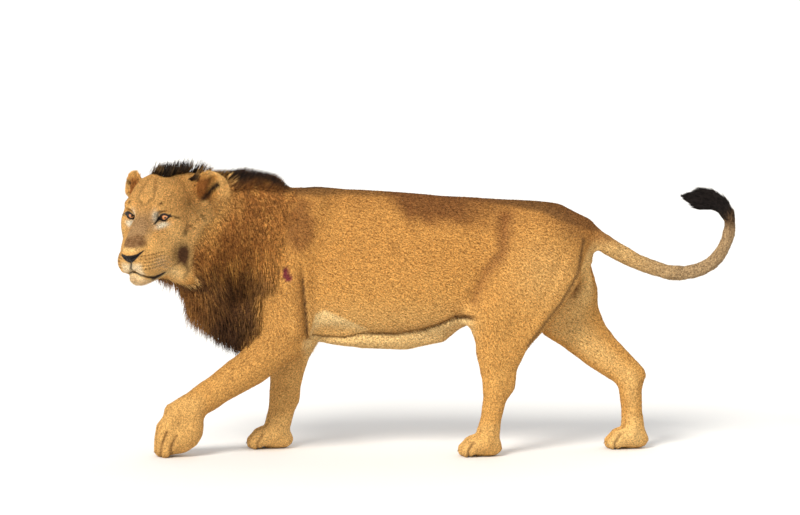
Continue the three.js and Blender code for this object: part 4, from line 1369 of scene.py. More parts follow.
@dataclass
class Skin:
    """One skin over the whole body, inside the coat's outline, with the forms of face and feet."""

    atlas: Atlas
    finishes: Finishes
    voxel: float = 0.0098
    seam: float = 0.0004
    sink: float = -0.06
    swell: float = 0.03
    sharpest: float = math.radians(70.0)
    margin: float = 0.0006
    piece: bpy.types.Object = field(init=False, default=None)

    def flesh(self) -> list[str]:
        """The model's nodes that the skin stands for."""
        return [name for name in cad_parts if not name.startswith(("eye_", "claw_"))]

    def build(self) -> None:
        """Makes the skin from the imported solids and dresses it."""
        solids = self._gathered()
        self.piece = linked("skin", solids.data.copy())
        self.piece.data.name = "skin"
        apply_modifier(self.piece, "DISPLACE", strength=self.seam, mid_level=0.0)
        apply_modifier(self.piece, "REMESH", mode="VOXEL", voxel_size=self.voxel, use_smooth_shade=True)
        self._keep_largest()
        tree = self._tree_of(solids)
        self._even(tree)
        self._unwrap()
        self._refine(self._near_details, 3)
        self._refine(self._near_fine_details, 2)
        self._carve()
        self._mark()
        bpy.data.objects.remove(solids)
        self.piece.data.materials.clear()
        self.piece.data.materials.append(self.finishes.skin)
        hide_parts(*self.flesh())
        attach(self.piece, BODY)
        self.piece.data.calc_loop_triangles()
        LOG.info("skin: %d triangles", len(self.piece.data.loop_triangles))

    def _gathered(self) -> bpy.types.Object:
        """A merged copy of the flesh nodes."""
        mesh = bmesh.new()
        for name in self.flesh():
            mesh.from_mesh(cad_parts[name].data)
        bmesh.ops.remove_doubles(mesh, verts=mesh.verts[:], dist=TINY)
        data = bpy.data.meshes.new("solids")
        mesh.to_mesh(data)
        mesh.free()
        return linked("solids", data)

    def _tree_of(self, piece: bpy.types.Object) -> BVHTree:
        """A search tree over an object's faces."""
        mesh = bmesh.new()
        mesh.from_mesh(piece.data)
        tree = BVHTree.FromBMesh(mesh)
        mesh.free()
        return tree

    def _keep_largest(self) -> None:
        """Drops the crumbs that a remesh can leave inside."""
        edges = Relaxer(self.piece.data)
        group, before = np.arange(edges.count), None
        while before is None or (group != before).any():
            before = group.copy()
            lowest = np.minimum(group[edges.a], group[edges.b])
            np.minimum.at(group, edges.a, lowest)
            np.minimum.at(group, edges.b, lowest)
            group = group[group]
        largest = np.bincount(group).argmax()
        mesh = bmesh.new()
        mesh.from_mesh(self.piece.data)
        crumbs = [vertex for vertex, number in zip(mesh.verts, group) if number != largest]
        bmesh.ops.delete(mesh, geom=crumbs, context="VERTS")
        mesh.to_mesh(self.piece.data)
        mesh.free()
        LOG.info("skin: %d crumbs dropped", len(np.unique(group)) - 1)

    def _even(self, tree: BVHTree) -> None:
        """Takes the facets out of the surface and sets it in by the coat's depth.

        Args:
            tree: The solids' faces, to search.
        """
        mesh = self.piece.data
        relaxer = Relaxer(mesh)
        places = places_of(mesh)
        p, q = self.atlas.both(places)
        rounds = np.full(len(places), 26.0)
        rounds += (10.0 - rounds) * ramp(p[:, 2], 0.5, 0.36)
        rounds += (6.0 - rounds) * self.atlas.tail(p)
        rounds += (3.0 - rounds) * self.atlas.paws(p)
        rounds += (5.0 - rounds) * self.atlas.face(p, q)
        rounds += (1.5 - rounds) * self.atlas.ears(q)
        rounds += (4.0 - rounds) * bell(np.hypot(p[:, 0] - 0.7, p[:, 2] - 0.66), 0.06)
        relaxed = relaxer.relaxed(places, rounds)
        set_places(mesh, relaxed)
        outward = normals_of(mesh)
        deep = np.empty(len(relaxed))
        for n, (place, way) in enumerate(zip(relaxed, outward)):
            gap = tree.find_nearest(place)[0] - Vector(place)
            deep[n] = math.copysign(gap.length, gap.dot(Vector(way)))
        wanted = relaxer.relaxed(self.atlas.depth(p, q), 4)
        move = relaxer.relaxed(deep - wanted, np.minimum(rounds, 14.0))
        set_places(mesh, relaxed + outward * np.clip(move, self.sink, self.swell)[:, None])

    def _unwrap(self) -> None:
        """Lays the skin out flat for baking."""
        make_active(self.piece)
        while self.piece.data.uv_layers:
            self.piece.data.uv_layers.remove(self.piece.data.uv_layers[0])
        self.piece.data.uv_layers.new(name=BAKE_MAP)
        bpy.ops.object.mode_set(mode="EDIT")
        bpy.ops.mesh.select_all(action="SELECT")
        bpy.ops.uv.smart_project(angle_limit=self.sharpest, island_margin=self.margin)
        bpy.ops.object.mode_set(mode="OBJECT")

    def _near_details(self, p: Array, q: Array) -> Array:
        """Where the face, ears and feet need smaller faces."""
        return (self.atlas.face(p, q) > 0.4) | (self.atlas.ears(q) > 0.2) | self.atlas.feet.near(p)

    def _near_fine_details(self, _: Array, q: Array) -> Array:
        """Where the eyes, the nose and the lips need the smallest faces."""
        a, b, c = q.T
        wide = np.abs(b)
        eyes = np.hypot(wide - self.atlas.eye.across, c) < 0.034
        eyes &= a > -0.05
        nose = (wide < 0.056) & (a > 0.115) & (c < -0.066)
        lips = (np.abs(c - self.atlas.lip(q)) < 0.017) & (a > 0.03) & (wide < 0.115)
        return eyes | nose | lips

    def _refine(self, wanted: Callable[[Array, Array], Array], rounds: int) -> None:
        """Splits the faces of a region into four and evens them.

        Args:
            wanted: Says for places in both frames whether they are in the region.
            rounds: How often the new points are drawn together.
        """
        mesh = self.piece.data
        centres = read(mesh.polygons, "center", 3).astype(float)
        chosen = wanted(*self.atlas.both(centres))
        mesh.vertices.foreach_set("select", np.zeros(len(mesh.vertices), bool))
        mesh.edges.foreach_set("select", np.zeros(len(mesh.edges), bool))
        mesh.polygons.foreach_set("select", chosen)
        make_active(self.piece)
        bpy.context.tool_settings.mesh_select_mode = (False, False, True)
        bpy.ops.object.mode_set(mode="EDIT")
        bpy.ops.mesh.subdivide(number_cuts=1, smoothness=0.0)
        bpy.ops.object.mode_set(mode="OBJECT")
        places = places_of(mesh)
        region = wanted(*self.atlas.both(places)).astype(float)
        relaxer = Relaxer(mesh)
        set_places(mesh, relaxer.relaxed(places, relaxer.relaxed(region, 2) * rounds))

    # ---- forms of the face, feet and belly

    def _carve(self) -> None:
        """Shapes lids, nose, lips, brow, ears, toes and folds."""
        mesh = self.piece.data
        places = places_of(mesh)
        outward = normals_of(mesh)
        p, q = self.atlas.both(places)
        facing = self.atlas.head.local(places + outward) - q
        q = self._swell(q, facing)
        q = self._lids(q, facing)
        q = self._nose(q, facing)
        lift = self._body_forms(p) + self._foot_forms(p)
        set_places(mesh, self.atlas.head.world(q) + outward * lift[:, None])

    def _swell(self, q: Array, facing: Array) -> Array:
        """Soft forms of the face: brow, cheek, bridge, whisker pads and the lips.

        Args:
            q: The skin's points in the head's frame.
            facing: Its normals there.

        Returns:
            The points, moved.
        """
        a, b, c = q.T
        wide = np.abs(b)
        fold = np.stack([a, wide, c], 1)

        def lump(place: tuple, width: float) -> Array:
            """A round soft form at a place."""
            return bell(np.linalg.norm(fold - np.array(place), axis=1), width)

        lift = 0.0055 * lump((0.004, 0.06, 0.034), 0.02)
        lift -= 0.0045 * lump((0.012, 0.04, 0.0), 0.013)
        lift += 0.004 * lump((-0.03, 0.098, -0.04), 0.03)
        lift -= 0.003 * lump((-0.02, 0.07, -0.046), 0.016)
        lift += 0.0055 * lump((0.128, 0.042, -0.14), 0.026)
        lift -= 0.005 * lump((0.06, 0.064, -0.11), 0.022)
        lift -= 0.005 * lump((0.002, 0.124, -0.172), 0.014)
        bridge = off_line(fold, ((0.01, 0.024, 0.03), (0.15, 0.027, -0.048)))
        lift += 0.0025 * bell(bridge, 0.009)
        creases = self.atlas.creases
        for line in (creases.brow, creases.ear, creases.mouth):
            lift -= 0.0028 * bell(off_line(fold, line), 0.0055)
        lift += 0.008 * lump((0.07, 0.04, -0.248), 0.034)
        under = self.atlas.lip(q) - c
        front = ramp(a, 0.03, 0.05) * ramp(wide, 0.12, 0.1)
        lift += 0.0034 * front * bell(under + 0.013, 0.008)
        lift -= 0.0085 * front * bell(under - 0.001, 0.0036)
        lift -= 0.002 * front * bell(under - 0.011, 0.006)
        ring = np.hypot((wide - self.atlas.eye.across) * 0.9, c + 0.002)
        for radius in (0.031, 0.037):
            line = 0.0009 * bell(ring - radius, 0.0022)
            lift -= line * ramp(c, -0.008, -0.02) * ramp(a, -0.06, -0.03)
        return q + facing * lift[:, None]

    def _lids(self, q: Array, facing: Array) -> Array:
        """Lays lids round each eyeball and opens them in the shape of an almond.

        Args:
            q: The skin's points in the head's frame.
            facing: Its normals there.

        Returns:
            The points, moved.
        """
        eye = self.atlas.eye
        q = q.copy()
        for side in Side:
            over = q[:, 1] * side.value - eye.across
            height = q[:, 2]
            off = np.hypot(over, height)
            near = (off < 0.036) & (facing[:, 0] > -0.1) & (q[:, 0] > -0.055)
            shell = eye.radius + eye.lid
            dome = -eye.deep + np.sqrt(np.maximum(shell**2 - off**2, 0.0095**2))
            dome -= 0.35 * np.maximum(off - 0.0212, 0.0)
            share = ramp(off, 0.034, 0.0195) * near
            open_by = eye.open_by(over, height)
            target = dome - 0.009 * ramp(open_by, -0.0004, 0.0014)
            upper = height > eye.tilt * over - eye.drop
            target += np.where(upper, 0.0016, 0.0007) * bell(open_by + 0.0065, 0.0022) * near
            target -= 0.0016 * bell(open_by + 0.0105, 0.0016) * upper
            q[:, 0] += (target - q[:, 0]) * share
        return q

    def _nose(self, q: Array, facing: Array) -> Array:
        """Raises the leather of the nose and sinks the nostrils and the groove below them.

        Args:
            q: The skin's points in the head's frame.
            facing: Its normals there.

        Returns:
            The points, moved.
        """
        a, b, c = q.T
        wide = np.abs(b)
        leather = self.atlas.leather(q)
        lift = 0.002 * leather
        nostril = ((0.014, -0.102), (0.025, -0.098), (0.039, -0.087))
        slit, along, _ = to_line(np.stack([wide, c], 1), nostril)
        front = ramp(a, 0.13, 0.15)
        lift -= (0.0105 - 0.005 * along) * bell(slit, 0.0044 - 0.0016 * along) * front
        lift += 0.0022 * bell(np.hypot(wide - 0.027, c + 0.084), 0.007) * front
        lift -= 0.0042 * self.atlas.philtrum(q)
        lift -= 0.0016 * bell(wide, 0.0022) * leather
        return q + facing * lift[:, None]

    def _body_forms(self, p: Array) -> Array:
        """Folds and hollows of the body: belly fold, flank, shoulder and thigh.

        Args:
            p: Places in the lion's frame.

        Returns:
            How far each point is lifted.
        """
        x, y, z = p.T
        fold = self.atlas.fold_line(x)
        low = window(x, -0.36, -0.33, 0.34, 0.28)
        lift = -0.009 * bell(z - fold, 0.007) * low
        lift += 0.005 * bell(z - fold + 0.024, 0.015) * low
        elbow = np.hypot((x + 0.245) / 1.6, z - 0.5)
        lift += 0.006 * bell(elbow, 0.032) * ramp(np.abs(y), 0.07, 0.12)
        outer = ramp(np.abs(y), 0.08, 0.13)
        arm = self.atlas.triceps(p)
        tall = window(z, 0.44, 0.49, 0.78, 0.68) * outer
        lift -= 0.012 * bell(arm - 0.002, 0.0095) * tall
        lift += 0.006 * bell(arm + 0.04, 0.028) * tall
        flat = p[:, [0, 2]]
        blade = off_line(flat, ((-0.3, 0.955), (-0.375, 0.77)))
        lift += 0.0035 * bell(blade, 0.022) * ramp(np.abs(y), 0.05, 0.09)
        flank = off_line(flat, ((0.397, 0.9), *self.atlas.bones.flank))
        lift -= 0.006 * bell(flank, 0.026) * ramp(np.abs(y), 0.07, 0.11)
        ham = off_line(flat, ((0.64, 0.8), (0.57, 0.64), (0.485, 0.48)))
        lift -= 0.0035 * bell(ham, 0.02) * ramp(y, -0.06, -0.1)
        rib = np.sin((x + 0.22 * z) * 2.0 * math.pi / 0.062)
        lift += 0.0006 * rib * window(x, -0.26, -0.16, 0.2, 0.05) * bell(z - 0.68, 0.14)
        return lift - 0.004 * self.atlas.wound(p)

    def _foot_forms(self, p: Array) -> Array:
        """Toes parted by grooves."""
        grooves, swelling = self.atlas.feet.toes(p)
        return 0.003 * swelling - 0.0085 * grooves

    def _mark(self) -> None:
        """Stores the coat's colours and the bare places on the skin."""
        mesh = self.piece.data
        p, q = self.atlas.both(places_of(mesh))
        shade = 1.0 - 0.55 * self.atlas.mane(p, q)
        set_attribute(mesh, "marking", self.atlas.colours(p, q) * shade[:, None])
        set_attribute(mesh, "bare", self.atlas.bare(q))
        mesh.polygons.foreach_set("use_smooth", np.ones(len(mesh.polygons), bool))


# ---- roots of the hair


@dataclass
class Roots:
    """Places on the skin that hair grows from."""

    places: Array
    normals: Array
    patches: Array
    p: Array
    q: Array
    lie: Array

    def __len__(self) -> int:
        """How many roots there are."""
        return len(self.places)


class Field:
    """The skin as a field to sow roots on."""

    def __init__(self, skin: Skin) -> None:
        """Reads the skin's triangles, normals and map."""
        mesh = skin.piece.data
        mesh.calc_loop_triangles()
        self.corners = read(mesh.loop_triangles, "vertices", 3, np.int32)
        loops = read(mesh.loop_triangles, "loops", 3, np.int32)
        self.map = read(mesh.uv_layers[BAKE_MAP].data, "uv", 2)[loops]
        self.places = places_of(mesh)
        self.normals = normals_of(mesh)
        self.atlas = skin.atlas
        a, b, c = (self.places[self.corners[:, n]] for n in range(3))
        self.areas = np.linalg.norm(np.cross(b - a, c - a), axis=1) / 2.0
        self.p, self.q = skin.atlas.both((a + b + c) / 3.0)

    def sow(self, density: Array, rng: np.random.Generator) -> Roots:
        """Scatters roots.

        Args:
            density: Roots for a square metre, for each triangle.
            rng: The source of chance.

        Returns:
            The roots.
        """
        expected = np.cumsum(self.areas * density)
        count = int(expected[-1])
        steps = (np.arange(count) + rng.uniform(0.0, 1.0, count)) * expected[-1] / max(count, 1)
        chosen = np.minimum(np.searchsorted(expected, steps), len(self.areas) - 1)
        r, s = rng.uniform(size=(2, count))
        over = r + s > 1.0
        r[over], s[over] = 1.0 - r[over], 1.0 - s[over]
        return self._roots(chosen, np.stack([1.0 - r - s, r, s], 1))

    def nearest(self, ahead: float, side: Side, high: float) -> int:
        """The triangle on one side of the face at a forward place and a height of the head's frame."""
        off = np.hypot(self.q[:, 0] - ahead, self.q[:, 2] - high)
        off[self.q[:, 1] * side.value < 0.02] = np.inf
        return int(np.argmin(off))

    def roots_at(self, chosen: Array) -> Roots:
        """Roots in the middle of the chosen triangles."""
        return self._roots(chosen, np.full((len(chosen), 3), 1.0 / 3.0))

    def _roots(self, chosen: Array, shares: Array) -> Roots:
        """Roots in triangles, from the shares of each triangle's corners."""
        weights = shares[:, :, None]
        places = (self.places[self.corners[chosen]] * weights).sum(axis=1)
        normals = unit((self.normals[self.corners[chosen]] * weights).sum(axis=1))
        patches = (self.map[chosen] * weights).sum(axis=1)
        p, q = self.atlas.both(places)
        return Roots(places, normals, patches, p, q, self.atlas.lie(p, q, normals))


@dataclass
class Chance:
    """Seeded chance that gives each root numbers of its own."""

    rng: np.random.Generator
    count: int

    def between(self, low: float, high: float) -> Array:
        """A number from low to high for each root."""
        return self.rng.uniform(low, high, self.count)

    def angle(self, low: float, high: float) -> Array:
        """An angle in radians for each root, between two in degrees."""
        return np.radians(self.between(low, high))

    def sway(self, spread: float) -> Array:
        """A small random step for each root."""
        return self.rng.normal(0.0, spread, (self.count, 3))


@dataclass
class Locks:
    """Many closed tapering locks of hair with three sides, made as joined meshes."""

    name: str
    material: bpy.types.Material
    slot: str
    rings: int = 1
    limit: int = 190000

    def grow(
        self, atlas: Atlas, roots: Roots, length: Array, width: Array, lift: Array, seed: int,
        spread: float, end: Array | None = None, flat: float = 0.45, sunk: float = 0.0006,
    ) -> None:
        """Grows one lock from each root.

        Args:
            atlas: Gives the colours.
            roots: Where the locks grow.
            length: Each lock's length.
            width: Each lock's width at its root.
            lift: The angle each lock leaves the skin at.
            seed: Seed of the chance in angle and tone.
            spread: How far, in radians, the locks turn from their lie.
            end: The direction each lock turns to at its tip, or none for straight ones.
            flat: Thickness against width.
            sunk: How deep the root lies in the skin.
        """
        rng = np.random.default_rng(seed)
        count = len(roots)
        turn = rng.normal(0.0, spread, count)
        across = np.cross(roots.normals, roots.lie)
        lie = roots.lie * np.cos(turn)[:, None] + across * np.sin(turn)[:, None]
        start = unit(lie * np.cos(lift)[:, None] + roots.normals * np.sin(lift)[:, None])
        end = start if end is None else unit(end)
        here = roots.places - roots.normals * sunk
        sections = []
        for n in range(self.rings):
            way = unit(mixed(start, end, np.full(count, n / max(self.rings - 1, 1)) ** 0.8))
            side = unit(np.cross(roots.normals, way) + TINY)
            up = np.cross(way, side)
            half = (width * self._girth(n) / 2.0)[:, None]
            sections += [here + side * half, here - side * half, here + up * half * 2.0 * flat]
            here = here + way * (length / self.rings)[:, None]
        places = np.stack(sections + [here], axis=1)
        tips = np.append(np.repeat(np.arange(self.rings) / self.rings, 3), 1.0)
        faces = self._faces()
        colours = atlas.colours(roots.p, roots.q)
        tone = np.clip(rng.normal(0.0, 0.5, count), -1.0, 1.0)
        spin = rng.uniform(0.0, 2.0 * math.pi, count)
        along = np.stack([np.cos(spin), np.sin(spin)], 1) * PATCH / 2.0
        aside = np.stack([-along[:, 1], along[:, 0]], 1)
        sway = np.append(np.tile([0.5, -0.5, 0.0], self.rings), 0.0)
        size = places.shape[1]
        share = max(1, self.limit // len(faces))
        for number, first in enumerate(range(0, count, share)):
            part = slice(first, min(first + share, count))
            n = part.stop - part.start
            patch = roots.patches[part, None] + along[part, None] * (2.0 * tips[None, :, None] - 1.0)
            patch = (patch + aside[part, None] * sway[None, :, None]).reshape(-1, 2)
            every = (faces[None] + np.arange(n)[:, None, None] * size).reshape(-1, 3)
            piece = mesh_from(f"{self.name}_{number + 1}", places[part].reshape(-1, 3), every, patch)
            set_attribute(piece.data, "marking", np.repeat(colours[part], size, axis=0))
            set_attribute(piece.data, "tip", np.tile(tips, n))
            set_attribute(piece.data, "tone", np.repeat(tone[part], size))
            piece.data.materials.append(self.material)
            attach(piece, BODY)
        LOG.info("%s: %d locks, %d triangles", self.name, count, count * len(faces))

    def _girth(self, ring: int) -> float:
        """Width at a ring over that at the root: full in the middle, thin towards the tip."""
        share = ring / self.rings
        return (1.0 - share) ** 0.55 * (0.62 + 0.38 * min(1.0, 2.0 * share) if self.rings > 1 else 1.0)

    def _faces(self) -> Array:
        """The triangles of one lock, facing outwards."""
        faces = [(0, 1, 2)]
        for ring in range(self.rings - 1):
            low, high = 3 * ring, 3 * ring + 3
            for n in range(3):
                m = (n + 1) % 3
                faces += [(low + n, high + n, high + m), (low + n, high + m, low + m)]
        last, tip = 3 * self.rings - 3, 3 * self.rings
        faces += [(last + n, tip, last + (n + 1) % 3) for n in range(3)]
        return np.array(faces)


# ---- the coat


@dataclass(frozen=True)
class Density:
    """Locks for a square metre of skin where each kind of hair is thickest."""

    body: float = 47000.0
    feet: float = 55000.0
    face: float = 230000.0
    ears: float = 80000.0
    nape: float = 62000.0
    throat: float = 36000.0
    crest: float = 170000.0
    fringe: float = 60000.0
    tuft: float = 150000.0


@dataclass
class Coat:
    """All the hair: short fur, face, ears, mane, crest, fringes, tail tuft and whiskers."""

    atlas: Atlas
    ground: Field
    finishes: Finishes
    thin: float = 1.0
    dense: Density = Density()

    def build(self) -> None:
        """Grows each kind of hair in turn."""
        atlas, ground = self.atlas, self.ground
        self.mane_share = atlas.mane(ground.p, ground.q)
        self.face_share = atlas.face(ground.p, ground.q)
        self.ear_share = atlas.ears(ground.q)
        self.tuft_share = atlas.tuft(ground.p)
        self.crest_share = atlas.crest(ground.p) * self.mane_share
        self.bare_share = np.clip(atlas.bare(ground.q) + atlas.wound(ground.p), 0.0, 1.0)
        self._short_fur()
        self._face_fur()
        self._ear_hair()
        self._mane()
        self._crest()
        self._fringes()
        self._tail_tuft()
        self._whiskers()

    def _sow(self, seed: int, density: Array) -> tuple[Roots, Chance]:
        """Roots at a density over the skin, and the chance that goes on with them."""
        rng = np.random.default_rng(seed)
        roots = self.ground.sow(density * self.thin, rng)
        return roots, Chance(rng, len(roots))

    def _short_fur(self) -> None:
        """Fur of the trunk, legs and tail."""
        atlas, ground = self.atlas, self.ground

        def smallness(p: Array) -> Array:
            """How short and dense the fur is, most on the feet."""
            return np.maximum(atlas.paws(p), 0.6 * ramp(p[:, 2], 0.42, 0.28))

        density = self.dense.body + self.dense.feet * smallness(ground.p)
        others = (self.mane_share, self.face_share, self.ear_share, self.tuft_share, self.bare_share)
        for share in others:
            density *= 1.0 - share
        roots, chance = self._sow(21, density)
        small = smallness(roots.p)
        length = (0.013 - 0.0068 * small) * chance.between(0.7, 1.25)
        lift = chance.angle(6.0, 13.0)
        width = (0.0021 - 0.0009 * small) * chance.between(0.75, 1.2)
        Locks("short_fur", self.finishes.fur, "coat").grow(
            atlas, roots, length, width, lift, seed=22, spread=0.1)

    def _face_fur(self) -> None:
        """Very short fur of the face and the ears."""
        atlas = self.atlas
        share = np.maximum(self.face_share * (1.0 - self.mane_share), 0.7 * self.ear_share)
        roots, chance = self._sow(31, self.dense.face * share * (1.0 - self.bare_share) ** 2)
        q = roots.q
        a, _, c = q.T
        muzzle = ramp(a, 0.02, 0.11)
        cheek = ramp(a, -0.02, -0.09) * ramp(c, 0.06, -0.04)
        chin = ramp(atlas.lip(q) - c, 0.01, 0.03) * ramp(a, 0.0, 0.06)
        length = (0.008 - 0.0042 * muzzle) * chance.between(0.7, 1.25)
        length += 0.008 * cheek + 0.01 * chin * chance.between(0.4, 1.6)
        length += 0.004 * atlas.ears(q)
        lift = chance.angle(10.0, 22.0)
        width = (0.00115 + 0.0006 * cheek) * chance.between(0.75, 1.2)
        Locks("face_fur", self.finishes.face, "face_coat").grow(
            atlas, roots, length, width, lift, seed=32, spread=0.14, sunk=0.0003)

    def _ear_hair(self) -> None:
        """Longer hair in front of the ears and along their rims."""
        atlas = self.atlas
        density = np.zeros(len(self.ground.p))
        for side in Side:
            share, e = atlas.ear_at(self.ground.q, side)
            deep, across, high = e.T
            front = ramp(across, -0.05, -0.45) * ramp(deep, -0.6, -0.1) * ramp(high, 0.8, 0.5)
            rim = 0.8 * ramp(np.hypot(across, high), 0.78, 0.92) * ramp(deep, -0.5, -0.1)
            density += self.dense.ears * share * np.maximum(front, rim)
        density *= 1.0 - np.clip(1.3 * atlas.ear.dark(self.ground.q, 0.013), 0.0, 1.0)
        roots, chance = self._sow(35, density)
        end = np.zeros((len(roots), 3))
        length = np.zeros(len(roots))
        for side in Side:
            share, e = atlas.ear_at(roots.q, side)
            front = ramp(e[:, 1], 0.0, -0.4)
            back = atlas.head.turned(atlas.ear.across(side)) * (0.45 * front)[:, None]
            rise = atlas.head.turned(atlas.ear.rise(side)) * (0.75 + 0.1 * (1.0 - front))[:, None]
            end += share[:, None] * (back + rise)
            length += share * (0.009 + 0.011 * front)
        end = end + roots.normals * 0.35 + chance.sway(0.12)
        lift = chance.angle(20.0, 40.0)
        width = 0.0021 * chance.between(0.7, 1.2)
        length = length * chance.between(0.6, 1.1)
        Locks("ear_hair", self.finishes.mane, "face_coat", rings=3).grow(
            atlas, roots, length, width, lift, end=end, seed=36, spread=0.25, sunk=0.0005)

    def _mane(self) -> None:
        """Long locks of the neck and the throat."""
        cover = ramp(self.mane_share, 0.05, 0.6) * (1.0 - 0.5 * self.crest_share)
        throat_share = ramp(self.ground.p[:, 2], 0.84, 0.7)
        self._mane_part("nape_hair", 41, self.dense.nape * cover * (1.0 - throat_share), 2)
        self._mane_part("mane", 43, self.dense.throat * cover * throat_share, 3)

    def _mane_part(self, name: str, seed: int, density: Array, rings: int) -> None:
        """Part of the mane: locks that hang, shorter and swept back next to the face.

        Args:
            name: The locks' name.
            seed: Seed of the chance.
            density: Locks for a square metre, for each triangle of the skin.
            rings: How many steps each lock bends in.
        """
        atlas = self.atlas
        roots, chance = self._sow(seed, density)
        p = roots.p
        share = atlas.mane(roots.p, roots.q)
        throat = ramp(p[:, 2], 0.88, 0.62)
        beside = ramp(atlas.behind_face(roots.q), 0.075, 0.0) * ramp(roots.q[:, 2], -0.34, -0.3)
        length = (0.036 + 0.054 * throat) * (0.55 + 0.45 * share) * chance.between(0.65, 1.2)
        length *= 1.0 - 0.62 * beside
        lift = np.radians(15.0 + 10.0 * throat * (1.0 - beside) + chance.between(-6.0, 9.0))
        hang = np.stack([0.12 + 0.95 * beside, 0.05 * np.sign(p[:, 1]), -1.0 + 0.25 * beside], 1)
        hang += chance.sway(0.17) + roots.normals * 0.18
        width = (0.0027 + 0.0018 * throat) * chance.between(0.7, 1.2)
        Locks(name, self.finishes.mane, "mane", rings=rings).grow(
            atlas, roots, length, width, lift, end=hang, seed=seed + 1, spread=0.22, sunk=0.002)

    def _crest(self) -> None:
        """Dark bristling hair that stands on the crown and the nape."""
        atlas = self.atlas
        roots, chance = self._sow(45, self.dense.crest * ramp(self.crest_share, 0.1, 0.5))
        p = roots.p
        x, y, _ = p.T
        nape = ramp(x, -0.8, -0.7)
        length = (0.064 - 0.012 * nape) * chance.between(0.6, 1.1)
        length *= 0.45 + 0.55 * ramp(atlas.crest(p), 0.2, 0.9)
        length *= 0.35 + 0.65 * ramp(x, -0.4, -0.56)
        lift = np.radians(62.0 - 10.0 * nape + chance.between(-14.0, 12.0))
        side = np.sign(y + 0.12 * ramp(x, -0.7, -0.85))
        end = np.stack([0.35 + 0.5 * nape, 0.18 * side, 0.8 - 0.25 * nape], 1)
        end += chance.sway(0.14) + roots.normals * 0.25
        width = 0.0034 * chance.between(0.7, 1.2)
        Locks("crest", self.finishes.mane, "mane", rings=2).grow(
            atlas, roots, length, width, lift, end=end, seed=46, spread=0.35, sunk=0.002)

    def _fringes(self) -> None:
        """Dark hair along the belly's crease, where it takes the crease's painted shade, and behind the
        elbows.
        """
        atlas, ground = self.atlas, self.ground
        x, y, z = ground.p.T
        share = bell(z - atlas.fold_line(x) - 0.004, 0.006) * window(x, -0.34, -0.3, 0.3, 0.26)
        share = share * ramp(np.abs(y), 0.05, 0.08)
        for line in atlas.bones.upper_arms:
            elbow = np.array(line[-1]) + np.array([0.055, 0.0, -0.02])
            share = np.maximum(share, bell(np.linalg.norm(ground.p - elbow, axis=1), 0.035))
        roots, chance = self._sow(61, self.dense.fringe * share)
        length = 0.017 * chance.between(0.6, 1.3)
        lift = chance.angle(12.0, 30.0)
        end = np.tile([0.3, 0.0, -1.0], (len(roots), 1)) + roots.normals * 0.25
        width = 0.002 * chance.between(0.7, 1.2)
        Locks("fringe", self.finishes.fur, "coat", rings=2).grow(
            atlas, roots, length, width, lift, end=end, seed=62, spread=0.2)

    def _tail_tuft(self) -> None:
        """The black tuft of the tail."""
        atlas = self.atlas
        roots, chance = self._sow(51, self.dense.tuft * ramp(self.tuft_share, 0.05, 0.5))
        _, along, _ = to_line(roots.p, atlas.bones.tail)
        length = 0.052 * chance.between(0.6, 1.1) * (0.35 + 0.65 * atlas.tuft(roots.p))
        length *= 1.0 - 0.45 * ramp(along, 0.95, 1.0)
        lift = chance.angle(12.0, 24.0)
        end = roots.lie + roots.normals * (0.1 - 0.35 * ramp(along, 0.88, 1.0))[:, None]
        end += chance.sway(0.05)
        width = 0.0042 * chance.between(0.7, 1.2)
        Locks("tail_tuft_hair", self.finishes.mane, "tuft", rings=3).grow(
            atlas, roots, length, width, lift, end=end, seed=52, spread=0.12, sunk=0.001)

    def _whiskers(self) -> None:
        """Whiskers in rows on the lips."""
        wanted, size, ways = [], [], []
        for side in Side:
            for row in range(3):
                for column in range(5):
                    wanted.append((0.085 + 0.012 * column + 0.005 * row, side, -0.124 - 0.0125 * row))
                    size.append(0.075 - 0.009 * column + 0.006 * row)
                    ways.append((-0.42 + 0.06 * column, side.value * 0.9, -0.18 - 0.1 * row))
        chosen = [self.ground.nearest(*place) for place in wanted]
        roots = self.ground.roots_at(np.array(chosen))
        roots.lie = unit(self.atlas.head.turned(np.array(ways)))
        chance = Chance(np.random.default_rng(71), len(roots))
        length = np.array(size) * chance.between(0.75, 1.15)
        end = roots.lie + np.array([0.0, 0.0, -0.35]) + chance.sway(0.1)
        lift = chance.angle(4.0, 12.0)
        width = np.full(len(roots), 0.0005)
        Locks("whiskers", self.finishes.bristle, "face_coat", rings=6).grow(
            self.atlas, roots, length, width, lift, end=end, seed=72, flat=0.8, spread=0.05)


# ---- eyes and claws


